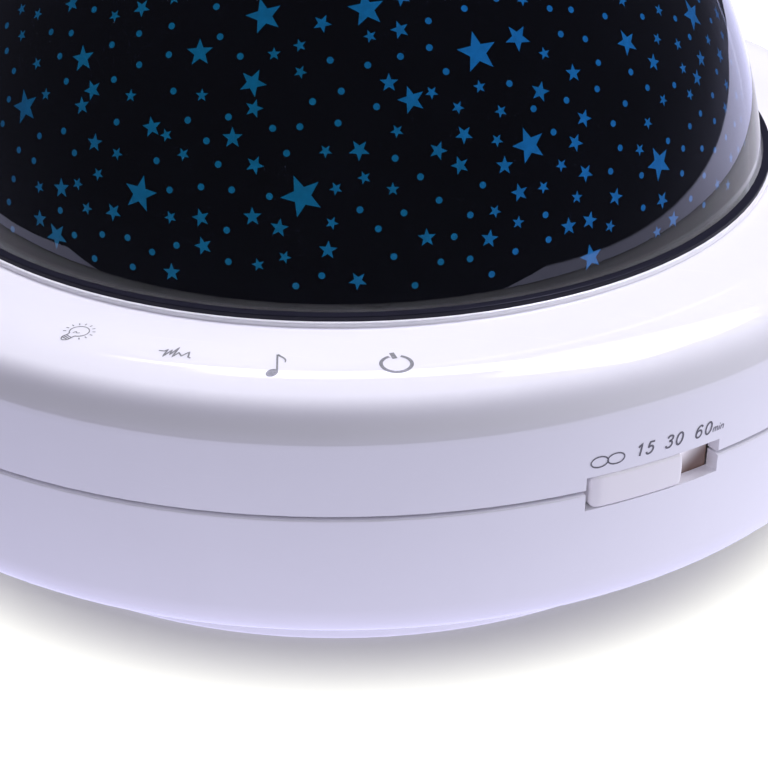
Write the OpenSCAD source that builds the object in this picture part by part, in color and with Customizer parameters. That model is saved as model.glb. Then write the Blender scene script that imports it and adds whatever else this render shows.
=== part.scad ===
// Star night light projector: a low round base with a dark dome of star windows.
// The frame stands on the floor at z = 0 with the dome's axis on +Z. The touch keys face -Y,
// and azimuths are degrees from -Y towards +X. All sizes are millimetres.

/* [Base] */
// Diameter of the base across its side wall
base_d = 196.8; // [192:0.4:204]
// Height of the seam between the two housings
seam_z = 36; // [35.4:0.2:37]
// Open gap of the seam, seen from outside
seam_gap = 0.4; // [0.3:0.1:0.6]
// Thickness of the moulded walls
wall = 2.2; // [2:0.1:2.5]
// Height of the flat top of the base, next to the dome's collar
skin_z = 53.9; // [53:0.1:55]
// Radius of the shoulder between top and side wall
shoulder_r = 6; // [5:0.5:7.5]
// Width of the gently crowned band between the flat top and the shoulder
crown_w = 7.5; // [6.5:0.5:8.5]
// Radius of the crowned band
crown_r = 45; // [40:1:60]
// Height of the underside of the base, above the floor
under_z = 13.5; // [13:0.1:14]
// Radius of the lower edge of the base
under_r = 7.5; // [6:0.5:8]
// Diameter of the pedestal that the base stands on
pedestal_d = 158; // [157:0.5:160]
// Height that the rubber feet stand proud of the pedestal
foot_proud = 0.5; // [0.3:0.1:0.8]

/* [Dome] */
// Width of the rim between the dome's foot and the side wall
rim_w = 24.8; // [24.2:0.1:25.7]
// Height of the dome above the flat top of the base
dome_h = 68.6; // [67:0.2:70]
// Radius of curvature of the dome's side
dome_side_r = 83.6; // [82:0.2:86]
// Lean of the dome's side at its foot, in degrees
dome_lean = 7.2; // [6.6:0.1:7.8]
// Thickness of the clear dome
dome_wall = 2; // [1.8:0.1:2.2]
// Gap between the clear dome and the star mask
mask_gap = 0.3; // [0.2:0.05:0.4]
// Thickness of the star mask
mask_wall = 0.6; // [0.5:0.1:0.8]
// Depth of the dome's foot below the flat top
dome_seat = 3.9; // [3.6:0.1:4.2]
// Width of the dome ring's flange
ring_w = 1.4; // [1.2:0.1:1.7]
// Thickness of the dome ring's flange
ring_t = 0.8; // [0.6:0.1:1]
// Height of the collar above the flat top
collar_h = 0.7; // [0.5:0.1:0.9]
// Width of the collar left bare outside the ring
collar_reveal = 0.5; // [0.4:0.1:0.6]

/* [Stars] */
// Number of star windows
star_count = 90; // [60:1:120]
// Number of dot windows
dot_count = 70; // [40:1:90]
// Tip radius of the largest stars
star_r = 3.9; // [3:0.1:4.2]
// Radius of a dot
dot_r = 0.55; // [0.4:0.05:0.7]

/* [Timer switch] */
// Azimuth of the middle of the slot
slot_azimuth = 38.7; // [36:0.1:41]
// Length of the slot along the wall
slot_len = 23; // [22.6:0.1:24]
// Height of the slot
slot_h = 5.5; // [5.2:0.1:5.8]
// Height of the middle of the slot, above the seam
slot_lift = -0.05; // [-0.3:0.05:0.3]
// Length of the knob along the wall
knob_len = 15.4; // [15:0.1:15.8]
// Travel of the knob, over three steps of the switch
knob_travel = 6; // [5.4:0.1:6]
// Height that the knob's face stands proud of the wall
knob_proud = 0.15; // [0.1:0.05:0.4]
// Gap between the knob and the long edges of the slot
knob_gap = 0.15; // [0.12:0.01:0.25]

/* [Speaker] */
// Diameter of the speaker's flange
speaker_d = 45; // [43:0.5:46]
// Distance of the speaker from the dome's axis
speaker_y = 40; // [39:0.5:42]
// Depth of the speaker's basket
basket_h = 9; // [8:0.5:10]
// Radius of a grille hole
grille_r = 1; // [0.7:0.1:1.2]

/* [Battery bay] */
// Diameter of a battery cell
cell_d = 14.2; // [13.9:0.1:14.4]
// Length of a cell's can, without its button
cell_len = 49; // [48.5:0.1:49.5]
// Distance of the bay's middle from the dome's axis
bay_y = 34; // [33.5:0.1:34.5]

/* [Circuit boards] */
// Thickness of the circuit boards
board_t = 1.6; // [1.2:0.2:1.6]
// Width of the main board
main_board_w = 66; // [64:1:70]
// Depth of the main board
main_board_l = 54; // [53:0.5:56]
// Height of the lamp board above the light deck
lamp_post_h = 16; // [12:0.5:20]
// Diameter of the lamp post
lamp_post_d = 24; // [22:0.5:26]
// Width of the touch board
touch_board_w = 9; // [8.5:0.1:9.5]
// Angle between two touch keys
key_step = 10.6; // [10:0.1:11.5]

/* [Hidden] */
$fn = 96;
eps = 0.01;
fit = 0.1;           // clearance of pieces that seat in each other
loose = 0.3;         // clearance of pieces that pass each other
edge = 0.3;          // small chamfer on the housings' edges

base_r = base_d / 2;
wall_in = base_r - wall;
floor_z = foot_proud;
floor_top = floor_z + wall;
pedestal_r = pedestal_d / 2;
pedestal_edge = 1;
upper_z = seam_z + seam_gap;
skin_under = skin_z - wall;
under_top = under_z + wall;

// Dome: a side arc that leans in from the foot and runs tangent into a cap about the axis, the top of
// an ellipse that these sizes make nearly round. Centres are [radius, height], and heights of the dome
// count from the skin
dome_r = base_r - rim_w;
side_c = [dome_r - dome_side_r * cos(dome_lean), -dome_side_r * sin(dome_lean)];
cap_turn = 38.3341111;
cap_foot = side_c + dome_side_r * [cos(cap_turn), sin(cap_turn)];
cap_rise = dome_h - cap_foot[1];
cap_low = cap_rise * cap_rise / (cap_foot[0] / tan(cap_turn) - 2 * cap_rise);
cap_b = cap_rise + cap_low;
cap_a = cap_b * sqrt(cap_foot[0] * tan(cap_turn) / cap_low);
cap_c = [0, dome_h - cap_b];
cap_phi = atan2(cap_foot[1], cap_foot[0]);
mask_out = dome_wall + mask_gap;
mask_in = mask_out + mask_wall;

// Collar, ledge and ring
ring_in = dome_r + fit;
ring_out = ring_in + ring_w;
skirt_t = 0.9;
collar_in = ring_in + skirt_t + 0.2;
collar_out = ring_out + collar_reveal;
collar_z = skin_z + collar_h;
ledge_z = skin_z - dome_seat;
ledge_t = 2;
ledge_in = dome_r - 12.9;
ledge_out = collar_in + 2;
foot_in = ledge_in + 2.5;
foot_t = 2;
dome_screw_r = dome_r - 6.4;
dome_screw_n = 6;
dome_boss_r = 3;
dome_boss_h = 4;

// Light deck under the ledge, and the lamp post on it
deck_t = 1.6;
deck_top = ledge_z - ledge_t;
deck_z = deck_top - deck_t;
deck_r = dome_r - 0.9;
lamp_post_r = lamp_post_d / 2;
lamp_post_wall = 1.6;
lamp_hole_r = 6;
lamp_z = deck_top + lamp_post_h;
lamp_board_r = lamp_post_r + 2;
led_r = 2.5;

// Housing screws
screw_azimuths = [-65, 65, -145, 145];
screw_circle_r = base_r - 10.4;
housing_boss_r = 3.6;
counterbore_r = 3.1;
counterbore_z = seam_z - 10;
shank_r = 1.5;
shank_len = 18;

// Timer slot and knob: angles about the dome's axis
slot_z = seam_z + slot_lift;
slot_arc = arc_of(slot_len, base_r);
knob_arc = arc_of(knob_len, base_r);
travel_arc = arc_of(knob_travel, base_r);
flange_lap = 4;
flange_t = 1.2;
flange_r = wall_in - loose;
flange_arc = knob_arc + arc_of(2 * flange_lap, base_r);
flange_h = slot_h + 2.4;
track_arc = flange_arc + travel_arc + arc_of(6, base_r);
case_w = 12.8;
case_h = 5.6;
case_z = slot_z;
case_r = base_r - 13.5;
case_d = 4;
case_wall = 0.5;
stem_w = 2.2;
stem_h = 2;
carriage_w = 4.4;
fork_t = 1.2;

// Boards
main_board_z = 24;
main_board_top = main_board_z + board_t;
main_screw_x = main_board_w / 2 - 5;
main_screw_y = main_board_l / 2 - 5;
connector_w = 8;
connector_l = 4.5;
connector_h = 5.5;
connector_z = main_board_top + connector_h;
connector_inset = 3;
connector_pitch = (main_screw_x - connector_w) * 2 / 3;
front_connectors = [for (i = [0:3]) (i - 1.5) * connector_pitch];
rear_connectors = [-12, 12];
connector_front_y = bay_y - main_board_l / 2 + connector_inset;
connector_rear_y = bay_y + main_board_l / 2 - connector_inset;
key_count = 4;
pad_r = 3.4;
touch_board_r = base_r - 15.9;
touch_board_z = ledge_z - ledge_t - board_t;
touch_board_arc = key_count * key_step + 6;
touch_boss_r = 1.9;

// Power socket in the rear wall
socket_z = 22;
socket_w = 9;
socket_h = 3.3;
socket_len = 7.4;
socket_front = wall_in - 2.3;
window_w = 13;
window_h = 8;
power_board_w = 18;
power_board_l = 11;
power_board_y = socket_front - 0.9 - power_board_l;
post_r = 2.4;

// Battery bay
cell_n = 4;
cell_pitch = cell_d + 0.5;
button_r = 2.7;
button_l = 1.3;
contact_t = 0.5;
spring_l = 3.4;
bay_w = cell_n * cell_pitch + 0.4;
bay_l = cell_len + button_l + spring_l + 2 * contact_t + 0.3;
bay_wall = 1.6;
door_t = 1.8;
door_z = floor_z + fit;
door_lip = 2.1;
door_w = bay_w + 2 * door_lip;
door_l = bay_l + 2 * door_lip;
ear_r = 5;
ear_y = bay_l / 2 + 5.2;
bay_floor = door_z + door_t + fit;
bay_roof = bay_floor + cell_d + 0.4;
frame_h = 2;
frame_w = 5;
door_boss_r = 3.6;
door_boss_h = 9;

// Speaker
speaker_r = speaker_d / 2;
gasket_t = 1;
flange_z = floor_top + gasket_t;
speaker_flange_t = 1;
speaker_top = flange_z + speaker_flange_t;
basket_r = speaker_r - 4;
magnet_r = 11;
magnet_h = 6;
speaker_screw_n = 4;
speaker_screw_c = speaker_r + 2.7;
grille_rings = 3;
grille_pitch = 4.2;

// Feet
foot_r = 5;
foot_circle = pedestal_r - 11;
foot_t_in = 1;

// Shared helpers -----------------------------------------------------------------------------

function arc_of(length, radius) = length / radius * 180 / PI;

function arc(c, r, a0, a1, n = 12) =
    [for (i = [0:n]) let (a = a0 + (a1 - a0) * i / n) c + r * [cos(a), sin(a)]];

function reversed(list) = [for (i = [len(list) - 1:-1:0]) list[i]];

// Local +X points outwards at an azimuth
module at_azimuth(a) {
    rotate([0, 0, a - 90]) children();
}

module at_azimuths(list) {
    for (a = list) at_azimuth(a) children();
}

// A ring sector of a rectangular section, centred on an azimuth
module sector(r_in, r_out, z0, z1, azimuth, angle) {
    rotate([0, 0, azimuth - 90 - angle / 2])
        rotate_extrude(angle = angle)
            translate([r_in, z0]) square([r_out - r_in, z1 - z0]);
}

module tube(r_out, r_in, h) {
    difference() {
        cylinder(h = h, r = r_out);
        translate([0, 0, -eps]) cylinder(h = h + 2 * eps, r = r_in);
    }
}

// A pan-head screw whose head's underside is at z = 0 and whose shank points up
module screw(head_r, head_h, r, length) {
    difference() {
        union() {
            translate([0, 0, -head_h]) cylinder(h = head_h, r = head_r);
            translate([0, 0, -eps]) cylinder(h = length, r = r);
        }
        for (a = [0, 90])
            rotate([0, 0, a]) translate([-head_r * 0.6, -0.25, -head_h - eps]) cube([head_r * 1.2, 0.5, 0.7]);
    }
}

// Dome geometry ------------------------------------------------------------------------------

// A point of the cap, moved inwards by an inset, where its normal has an elevation
function cap_point(a, inset) = let (q = norm([cap_a * cos(a), cap_b * sin(a)]))
    [a == 90 ? 0 : (cap_a * cap_a / q - inset) * cos(a), skin_z + cap_c[1] + (cap_b * cap_b / q - inset) * sin(a)];

// The dome's half section, moved inwards by an inset, from its foot to its top
function dome_curve(inset, n = 16) = concat(
    arc(side_c + [0, skin_z], dome_side_r - inset, dome_lean, cap_turn, n),
    [for (i = [1:n]) cap_point(i == n ? 90 : cap_turn + (90 - cap_turn) * i / n, inset)]);

module dome_shell(out, inn, foot) {
    outside = dome_curve(out);
    inside = dome_curve(inn);
    rotate_extrude()
        polygon(concat([[outside[0][0], foot]], outside, reversed(inside), [[inside[0][0], foot]]));
}

// Distance of the dome's surface from the axis at the skin's height, seen at an elevation, and the
// normal's elevation there
function side_reach(phi) = let (q = side_c * [cos(phi), sin(phi)])
    q + sqrt(q * q - side_c * side_c + dome_side_r * dome_side_r);

function cap_reach(phi) = let (
        g = pow(cos(phi) / cap_a, 2) + pow(sin(phi) / cap_b, 2),
        q = cap_c[1] * sin(phi) / (cap_b * cap_b))
    (q + sqrt(q * q - g * (pow(cap_c[1] / cap_b, 2) - 1))) / g;

function reach(phi) = phi < cap_phi ? side_reach(phi) : cap_reach(phi);

function normal_at(phi) = let (p = reach(phi) * [cos(phi), sin(phi)])
    phi < cap_phi ? atan2(p[1] - side_c[1], p[0] - side_c[0])
        : atan2((p[1] - cap_c[1]) / (cap_b * cap_b), p[0] / (cap_a * cap_a));

module on_dome(phi, turn, inset) {
    rotate([0, 0, turn])
        translate([reach(phi) * cos(phi), 0, skin_z + reach(phi) * sin(phi)])
            rotate([0, 90 - normal_at(phi), 0])
                translate([0, 0, -inset]) children();
}

// Housings -----------------------------------------------------------------------------------

module slot_cut() {
    sector(wall_in - 4, base_r + 2, slot_z - slot_h / 2, slot_z + slot_h / 2, slot_azimuth, slot_arc);
}

// The flat top runs tangent into the crowned band, and that into the shoulder
crown_c = [base_r - shoulder_r - crown_w, skin_z - crown_r];
shoulder_end = acos(crown_w / (crown_r - shoulder_r));
shoulder_c = [base_r - shoulder_r, crown_c[1] + (crown_r - shoulder_r) * sin(shoulder_end)];

module upper_profile() {
    polygon(concat(
        [[base_r - edge, upper_z], [base_r, upper_z + edge]],
        arc(shoulder_c, shoulder_r, 0, shoulder_end),
        arc(crown_c, crown_r, shoulder_end, 90, 6),
        [[collar_out, skin_z], [collar_out, collar_z - edge], [collar_out - edge, collar_z], [collar_in, collar_z],
            [collar_in, ledge_z], [ledge_in, ledge_z], [ledge_in, ledge_z - ledge_t],
            [ledge_out, ledge_z - ledge_t], [ledge_out, skin_under]],
        arc(crown_c, crown_r - wall, 90, shoulder_end, 6),
        arc(shoulder_c, shoulder_r - wall, shoulder_end, 0),
        [[wall_in, upper_z]]));
}

module housing_boss_upper() {
    translate([screw_circle_r, 0, seam_z])
        difference() {
            cylinder(h = skin_under - seam_z + 0.5, r = housing_boss_r);
            translate([0, 0, -eps]) cylinder(h = shank_len - 5, r = shank_r + 0.05);
        }
}

module touch_boss() {
    translate([touch_board_r, 0, touch_board_z + board_t])
        difference() {
            cylinder(h = skin_under - touch_board_z - board_t + 0.5, r = touch_boss_r);
            translate([0, 0, -eps]) cylinder(h = 3, r = 0.85);
        }
}

touch_boss_azimuths = [-touch_board_arc / 2 + 2.2, 0, touch_board_arc / 2 - 2.2];
rib_azimuths = [-115, -90, -40, 90, 115, 170, -170];

module upper_housing() {
    color([0.93, 0.93, 0.96])
    difference() {
        union() {
            rotate_extrude() upper_profile();
            at_azimuths(screw_azimuths) housing_boss_upper();
            at_azimuths(touch_boss_azimuths) touch_boss();
            at_azimuths(rib_azimuths)
                translate([ledge_out - 0.5, -0.8, skin_under - 3]) cube([base_r - shoulder_r - ledge_out, 1.6, 3.5]);
        }
        slot_cut();
        at_azimuths([for (i = [0:dome_screw_n - 1]) 30 + 360 / dome_screw_n * i])
            translate([dome_screw_r, 0, ledge_z - ledge_t - 1]) cylinder(h = ledge_t + 2, r = shank_r + fit);
    }
}

module lower_profile() {
    under_c = [base_r - under_r, under_z + under_r];
    pedestal_c = [pedestal_r - pedestal_edge, floor_z + pedestal_edge];
    polygon(concat(
        [[0, floor_z]],
        arc(pedestal_c, pedestal_edge, -90, 0, 4),
        [[pedestal_r, under_z]],
        arc(under_c, under_r, -90, 0),
        [[base_r, seam_z - edge], [base_r - edge, seam_z], [wall_in, seam_z]],
        arc(under_c, under_r - wall, 0, -90),
        [[pedestal_r - wall, under_top], [pedestal_r - wall, floor_top], [0, floor_top]]));
}

// A lip that locates the upper housing, left out behind the timer slot
lip_h = 2.4;
lip_t = 1.2;
module locating_lip() {
    rotate([0, 0, slot_azimuth - 90 + track_arc / 2])
        rotate_extrude(angle = 360 - track_arc)
            polygon([[wall_in + 0.4, seam_z - 4], [wall_in + 0.4, seam_z - 0.6], [wall_in - fit, seam_z - 0.1],
                [wall_in - fit, seam_z + lip_h], [wall_in - fit - lip_t, seam_z + lip_h],
                [wall_in - fit - lip_t, seam_z - 2.5]]);
}

// The track that carries the knob's flange behind the wall
track_z = slot_z - flange_h / 2 - loose;
track_in = flange_r - flange_t - loose;
module knob_track() {
    rotate([0, 0, slot_azimuth - 90 - track_arc / 2 + 1])
        rotate_extrude(angle = track_arc - 2)
            polygon([[wall_in + 0.4, track_z - 2.8], [wall_in + 0.4, track_z], [track_in, track_z],
                [track_in, track_z + 1.8], [track_in - 1.2, track_z + 1.8], [track_in - 1.2, track_z - 1.4]]);
}

// Two grooved ribs that hold the timer board upright
guide_w = 3.6;
board_half = 12;
timer_board_z = 26;
timer_board_h = 18;
module board_guides() {
    at_azimuth(slot_azimuth)
        for (side = [-1, 1])
            difference() {
                translate([case_r - board_t - 2.2, side > 0 ? board_half - 1.4 : -board_half - 2.2, under_top - 0.5])
                    cube([board_t + 4.4, guide_w, 17.5]);
                translate([case_r - board_t - fit, side > 0 ? 0 : -board_half - fit, timer_board_z])
                    cube([board_t + 2 * fit, board_half + fit, timer_board_h]);
            }
}

module housing_boss_lower() {
    translate([screw_circle_r, 0, under_z + wall / 2])
        cylinder(h = seam_z - under_z - wall / 2, r = housing_boss_r + 0.6);
}

module battery_outline(grow) {
    translate([0, bay_y]) {
        square([door_w + 2 * grow, door_l + 2 * grow], center = true);
        for (side = [-1, 1]) translate([0, side * ear_y]) circle(r = ear_r + grow);
    }
}

module at_door_screws() {
    for (side = [-1, 1]) translate([0, bay_y + side * ear_y, 0]) children();
}

module battery_box() {
    bay_outer_w = bay_w + 2 * bay_wall;
    bay_outer_l = bay_l + 2 * bay_wall;
    difference() {
        union() {
            translate([-bay_outer_w / 2, bay_y - bay_outer_l / 2, bay_floor])
                cube([bay_outer_w, bay_outer_l, bay_roof + bay_wall - bay_floor]);
            translate([0, 0, bay_floor]) linear_extrude(height = frame_h) battery_outline(2.4);
            at_door_screws() translate([0, 0, bay_floor]) cylinder(h = door_boss_h, r = door_boss_r);
            for (x = [-1, 1], y = [-1, 1])
                translate([x * main_screw_x, bay_y + y * main_screw_y, bay_roof + bay_wall / 2])
                    cylinder(h = main_board_z - bay_roof - bay_wall / 2, r = 2.6);
        }
        translate([-bay_w / 2, bay_y - bay_l / 2, bay_floor - 1]) cube([bay_w, bay_l, bay_roof - bay_floor + 1]);
        for (x = [-1, 1], y = [-1, 1])
            translate([x * main_screw_x, bay_y + y * main_screw_y, main_board_z - 4.5]) cylinder(h = 5, r = 1);
    }
}

module grille_holes() {
    translate([0, -speaker_y, floor_z - 1]) {
        cylinder(h = wall + 2, r = grille_r, $fn = 32);
        for (ring = [1:grille_rings], i = [0:6 * ring - 1])
            rotate([0, 0, 360 * i / (6 * ring)]) translate([grille_pitch * ring, 0, 0])
                cylinder(h = wall + 2, r = grille_r, $fn = 32);
    }
}

module speaker_bosses() {
    at_speaker_screws() difference() {
        translate([0, 0, floor_top - 0.5]) cylinder(h = speaker_top - floor_top + 0.5, r = 2.2);
        translate([0, 0, floor_top + 0.2]) cylinder(h = 3, r = 0.85);
    }
}

module at_speaker_screws() {
    translate([0, -speaker_y, 0])
        for (i = [0:speaker_screw_n - 1])
            rotate([0, 0, 45 + 360 / speaker_screw_n * i]) translate([speaker_screw_c, 0, 0]) children();
}

module power_posts() {
    at_power_screws() difference() {
        translate([0, 0, under_top - 0.5]) cylinder(h = socket_z - board_t - under_top + 0.5, r = post_r);
        translate([0, 0, under_top + 0.5]) cylinder(h = 6, r = 1);
    }
}

module at_power_screws() {
    for (x = [-1, 1]) translate([x * (power_board_w / 2 - 2.4), power_board_y + 3, 0]) children();
}

module at_feet() {
    for (i = [0:3]) at_azimuth(45 + 90 * i) translate([foot_circle, 0, 0]) children();
}

module socket_window() {
    translate([-window_w / 2, wall_in - 3, socket_z + socket_h / 2 - window_h / 2]) cube([window_w, wall + 5, window_h]);
}

module lower_housing() {
    color([0.93, 0.93, 0.96])
    difference() {
        union() {
            difference() {
                union() {
                    rotate_extrude() lower_profile();
                    locating_lip();
                    knob_track();
                    board_guides();
                    at_azimuths(screw_azimuths) housing_boss_lower();
                    power_posts();
                    speaker_bosses();
                }
                translate([0, 0, floor_z - 1]) linear_extrude(height = bay_floor - floor_z + 1) battery_outline(fit);
                translate([-bay_w / 2, bay_y - bay_l / 2, floor_z]) cube([bay_w, bay_l, wall + 1]);
            }
            battery_box();
        }
        slot_cut();
        grille_holes();
        socket_window();
        at_azimuths(screw_azimuths) translate([screw_circle_r, 0, 0]) {
            translate([0, 0, under_z - 1]) cylinder(h = counterbore_z - under_z + 1, r = counterbore_r);
            translate([0, 0, under_z]) cylinder(h = seam_z, r = shank_r + 0.2);
        }
        at_feet() translate([0, 0, floor_z - 1]) cylinder(h = foot_t_in + 1, r = foot_r + fit);
        at_door_screws() translate([0, 0, floor_z]) cylinder(h = door_boss_h, r = 1.05);
    }
}

// Dome ---------------------------------------------------------------------------------------

module at_dome_screws() {
    at_azimuths([for (i = [0:dome_screw_n - 1]) 30 + 360 / dome_screw_n * i])
        translate([dome_screw_r, 0, 0]) children();
}

module dome_cover() {
    color([0.05, 0.06, 0.08, 0.5])
    difference() {
        union() {
            dome_shell(0, dome_wall, ledge_z);
            translate([0, 0, ledge_z]) tube(dome_r - dome_wall + 0.5, foot_in, foot_t);
            at_dome_screws() translate([0, 0, ledge_z]) cylinder(h = foot_t + dome_boss_h, r = dome_boss_r);
        }
        at_dome_screws() translate([0, 0, ledge_z - 1]) cylinder(h = foot_t + dome_boss_h, r = shank_r + 0.05);
    }
}

// A five-point star, with one tip along +X
function star_points(r) = [for (i = [0:9]) (i % 2 == 0 ? r : r * 0.42) * [cos(36 * i), sin(36 * i)]];

star_sizes = [star_r, star_r * 0.5, star_r * 0.5, star_r * 0.34];
golden_turn = 137.508;

module star_window(i) {
    rotate([0, 0, 47 * i])
        linear_extrude(height = 3, center = true) polygon(star_points(star_sizes[i % len(star_sizes)]));
}

// The windows follow a golden spiral from the foot of the mask to its top
module star_mask() {
    window_count = star_count + dot_count;
    color([0.04, 0.05, 0.07])
    difference() {
        dome_shell(mask_out, mask_in, ledge_z + foot_t + fit);
        for (i = [0:window_count - 1]) {
            is_star = floor((i + 1) * star_count / window_count) > floor(i * star_count / window_count);
            on_dome(asin(0.06 + 0.905 * (i + 0.5) / window_count), golden_turn * i, (mask_out + mask_in) / 2)
                if (is_star) star_window(i);
                else cylinder(h = 3, r = dot_r, center = true, $fn = 24);
        }
    }
}

module dome_ring() {
    color([0.03, 0.03, 0.04])
    rotate_extrude()
        polygon([[ring_in, ledge_z + fit], [ring_in + skirt_t, ledge_z + fit], [ring_in + skirt_t, collar_z],
            [ring_out, collar_z], [ring_out, collar_z + ring_t - 0.2], [ring_out - 0.2, collar_z + ring_t],
            [ring_in, collar_z + ring_t]]);
}

module dome_screws() {
    color([0.7, 0.7, 0.72])
    at_dome_screws() translate([0, 0, deck_z]) screw(2.6, 1.8, shank_r, deck_t + ledge_t + foot_t + dome_boss_h - 2);
}

// Light deck and lamp ------------------------------------------------------------------------

module at_lamp_screws() {
    for (i = [0:2]) rotate([0, 0, 120 * i]) translate([lamp_post_r + 3.4, 0, 0]) children();
}

module light_deck() {
    color([0.95, 0.95, 0.95])
    difference() {
        union() {
            translate([0, 0, deck_z]) cylinder(h = deck_t, r = deck_r);
            translate([0, 0, deck_top - eps]) tube(ledge_in - fit, ledge_in - 1.6, ledge_t);
            at_lamp_screws() translate([0, 0, deck_z - 3]) cylinder(h = 3 + eps, r = 2.4);
        }
        translate([0, 0, deck_z - 1]) cylinder(h = deck_t + 2, r = lamp_hole_r);
        at_dome_screws() translate([0, 0, deck_z - 1]) cylinder(h = deck_t + 2, r = shank_r + fit);
        at_lamp_screws() translate([0, 0, deck_z - 2.5]) cylinder(h = 6, r = 1.05);
    }
}

module lamp_post() {
    color([0.9, 0.9, 0.9])
    translate([0, 0, deck_top])
    difference() {
        union() {
            cylinder(h = lamp_post_h, r = lamp_post_r);
            cylinder(h = 2, r = lamp_post_r + 6.2);
            for (i = [0:5]) rotate([0, 0, 60 * i + 30])
                rotate([90, 0, 0]) translate([0, 0, -0.6]) linear_extrude(height = 1.2)
                    polygon([[lamp_post_r - 0.5, 1], [lamp_post_r + 5, 1], [lamp_post_r + 5, 2.4],
                        [lamp_post_r - 0.5, lamp_post_h * 0.6]]);
        }
        translate([0, 0, -1]) cylinder(h = lamp_post_h + 2, r = lamp_post_r - lamp_post_wall);
        at_lamp_screws() translate([0, 0, -1]) cylinder(h = 4, r = 1.15);
    }
}

module lamp_post_screws() {
    color([0.7, 0.7, 0.72])
    at_lamp_screws() translate([0, 0, deck_top + 2]) rotate([180, 0, 0]) screw(2, 1.4, 1, 5);
}

module lamp_board() {
    color([0.95, 0.95, 0.93])
    translate([0, 0, lamp_z]) cylinder(h = board_t, r = lamp_board_r);
}

module lamp_leds() {
    color([0.8, 0.9, 1])
    for (p = [[0, 0], for (i = [0:2]) [lamp_board_r * 0.6 * cos(120 * i + 60), lamp_board_r * 0.6 * sin(120 * i + 60)]])
        translate([p[0], p[1], lamp_z + board_t]) {
            cylinder(h = 1, r = led_r + 0.4);
            cylinder(h = 5, r = led_r);
            translate([0, 0, 5]) sphere(r = led_r);
        }
}

// Electronics --------------------------------------------------------------------------------

module main_board() {
    color([0.1, 0.4, 0.2])
    difference() {
        translate([-main_board_w / 2, bay_y - main_board_l / 2, main_board_z]) cube([main_board_w, main_board_l, board_t]);
        for (x = [-1, 1], y = [-1, 1])
            translate([x * main_screw_x, bay_y + y * main_screw_y, main_board_z - 1]) cylinder(h = board_t + 2, r = 1.2);
    }
}

// A place on the main board, as shares of its width and depth from its middle
module on_board(x, y) {
    translate([main_board_w * x, bay_y + main_board_l * y, main_board_top]) children();
}

module chip(x, y, w, l, h) {
    on_board(x, y) translate([-w / 2, -l / 2, 0]) cube([w, l, h]);
}

module board_chips() {
    color([0.08, 0.08, 0.09]) {
        chip(-0.09, -0.04, 12, 12, 1.6);
        chip(0.21, -0.07, 6, 5, 1.5);
        chip(0.21, 0.15, 5, 8, 1.5);
        chip(-0.33, 0.11, 5, 4, 1.5);
        for (i = [0:4]) chip(-0.03 + 0.045 * i, 0.26, 1.6, 0.9, 0.7);
    }
}

module board_capacitors() {
    color([0.2, 0.25, 0.5])
    for (c = [[-0.3, -0.15, 3.2, 8], [0.36, -0.22, 2.5, 6], [0.36, 0.08, 3.2, 8], [-0.21, 0.26, 2.5, 6]])
        on_board(c[0], c[1]) cylinder(h = c[3], r = c[2]);
}

module connector(x, y) {
    translate([x - connector_w / 2, y - connector_l / 2, main_board_top]) cube([connector_w, connector_l, connector_h]);
}

module board_connectors() {
    color([0.92, 0.9, 0.85]) {
        for (x = front_connectors) connector(x, connector_front_y);
        for (x = rear_connectors) connector(x, connector_rear_y);
    }
}

module board_screws() {
    color([0.7, 0.7, 0.72]) {
        for (x = [-1, 1], y = [-1, 1])
            translate([x * main_screw_x, bay_y + y * main_screw_y, main_board_top])
                rotate([180, 0, 0]) screw(2, 1.4, 0.95, 5);
        at_power_screws() translate([0, 0, socket_z]) rotate([180, 0, 0]) screw(1.9, 1.3, 0.95, 5);
    }
}

// Touch board under the four keys; its foam pads reach the underside of the top
module touch_board() {
    color([0.1, 0.4, 0.2])
    difference() {
        sector(touch_board_r - touch_board_w / 2, touch_board_r + touch_board_w / 2, touch_board_z,
            touch_board_z + board_t, 0, touch_board_arc);
        at_azimuths(touch_boss_azimuths) translate([touch_board_r, 0, touch_board_z - 1]) cylinder(h = 4, r = 1);
    }
}

key_azimuths = [for (i = [0:key_count - 1]) (i - (key_count - 1) / 2) * key_step];

module touch_pads() {
    color([0.25, 0.25, 0.27])
    at_azimuths(key_azimuths)
        translate([touch_board_r, 0, touch_board_z + board_t])
            cylinder(h = skin_under - touch_board_z - board_t - 2 * fit, r = pad_r);
}

module touch_board_screws() {
    color([0.7, 0.7, 0.72])
    at_azimuths(touch_boss_azimuths)
        translate([touch_board_r, 0, touch_board_z]) screw(1.7, 1.2, 0.8, board_t + 2.6);
}

// Timer switch -------------------------------------------------------------------------------

module at_knob() {
    at_azimuth(slot_azimuth - travel_arc / 2) children();
}

module timer_board() {
    color([0.1, 0.4, 0.2])
    at_azimuth(slot_azimuth)
        translate([case_r - board_t, -board_half, timer_board_z]) cube([board_t, 2 * board_half, timer_board_h]);
}

lever_play = knob_travel / 2 + 0.4;

module timer_switch_case() {
    color([0.75, 0.76, 0.78])
    at_azimuth(slot_azimuth)
    difference() {
        translate([case_r, -case_w / 2, case_z - case_h / 2]) cube([case_d, case_w, case_h]);
        translate([case_r + case_wall, -carriage_w / 2 - lever_play, case_z - case_h / 2 + case_wall])
            cube([case_d - 2 * case_wall, carriage_w + 2 * lever_play, case_h - 2 * case_wall]);
        translate([case_r + case_d - 1, -stem_w / 2 - lever_play, case_z - stem_h / 2 - loose])
            cube([2, stem_w + 2 * lever_play, stem_h + 2 * loose]);
    }
}

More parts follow.
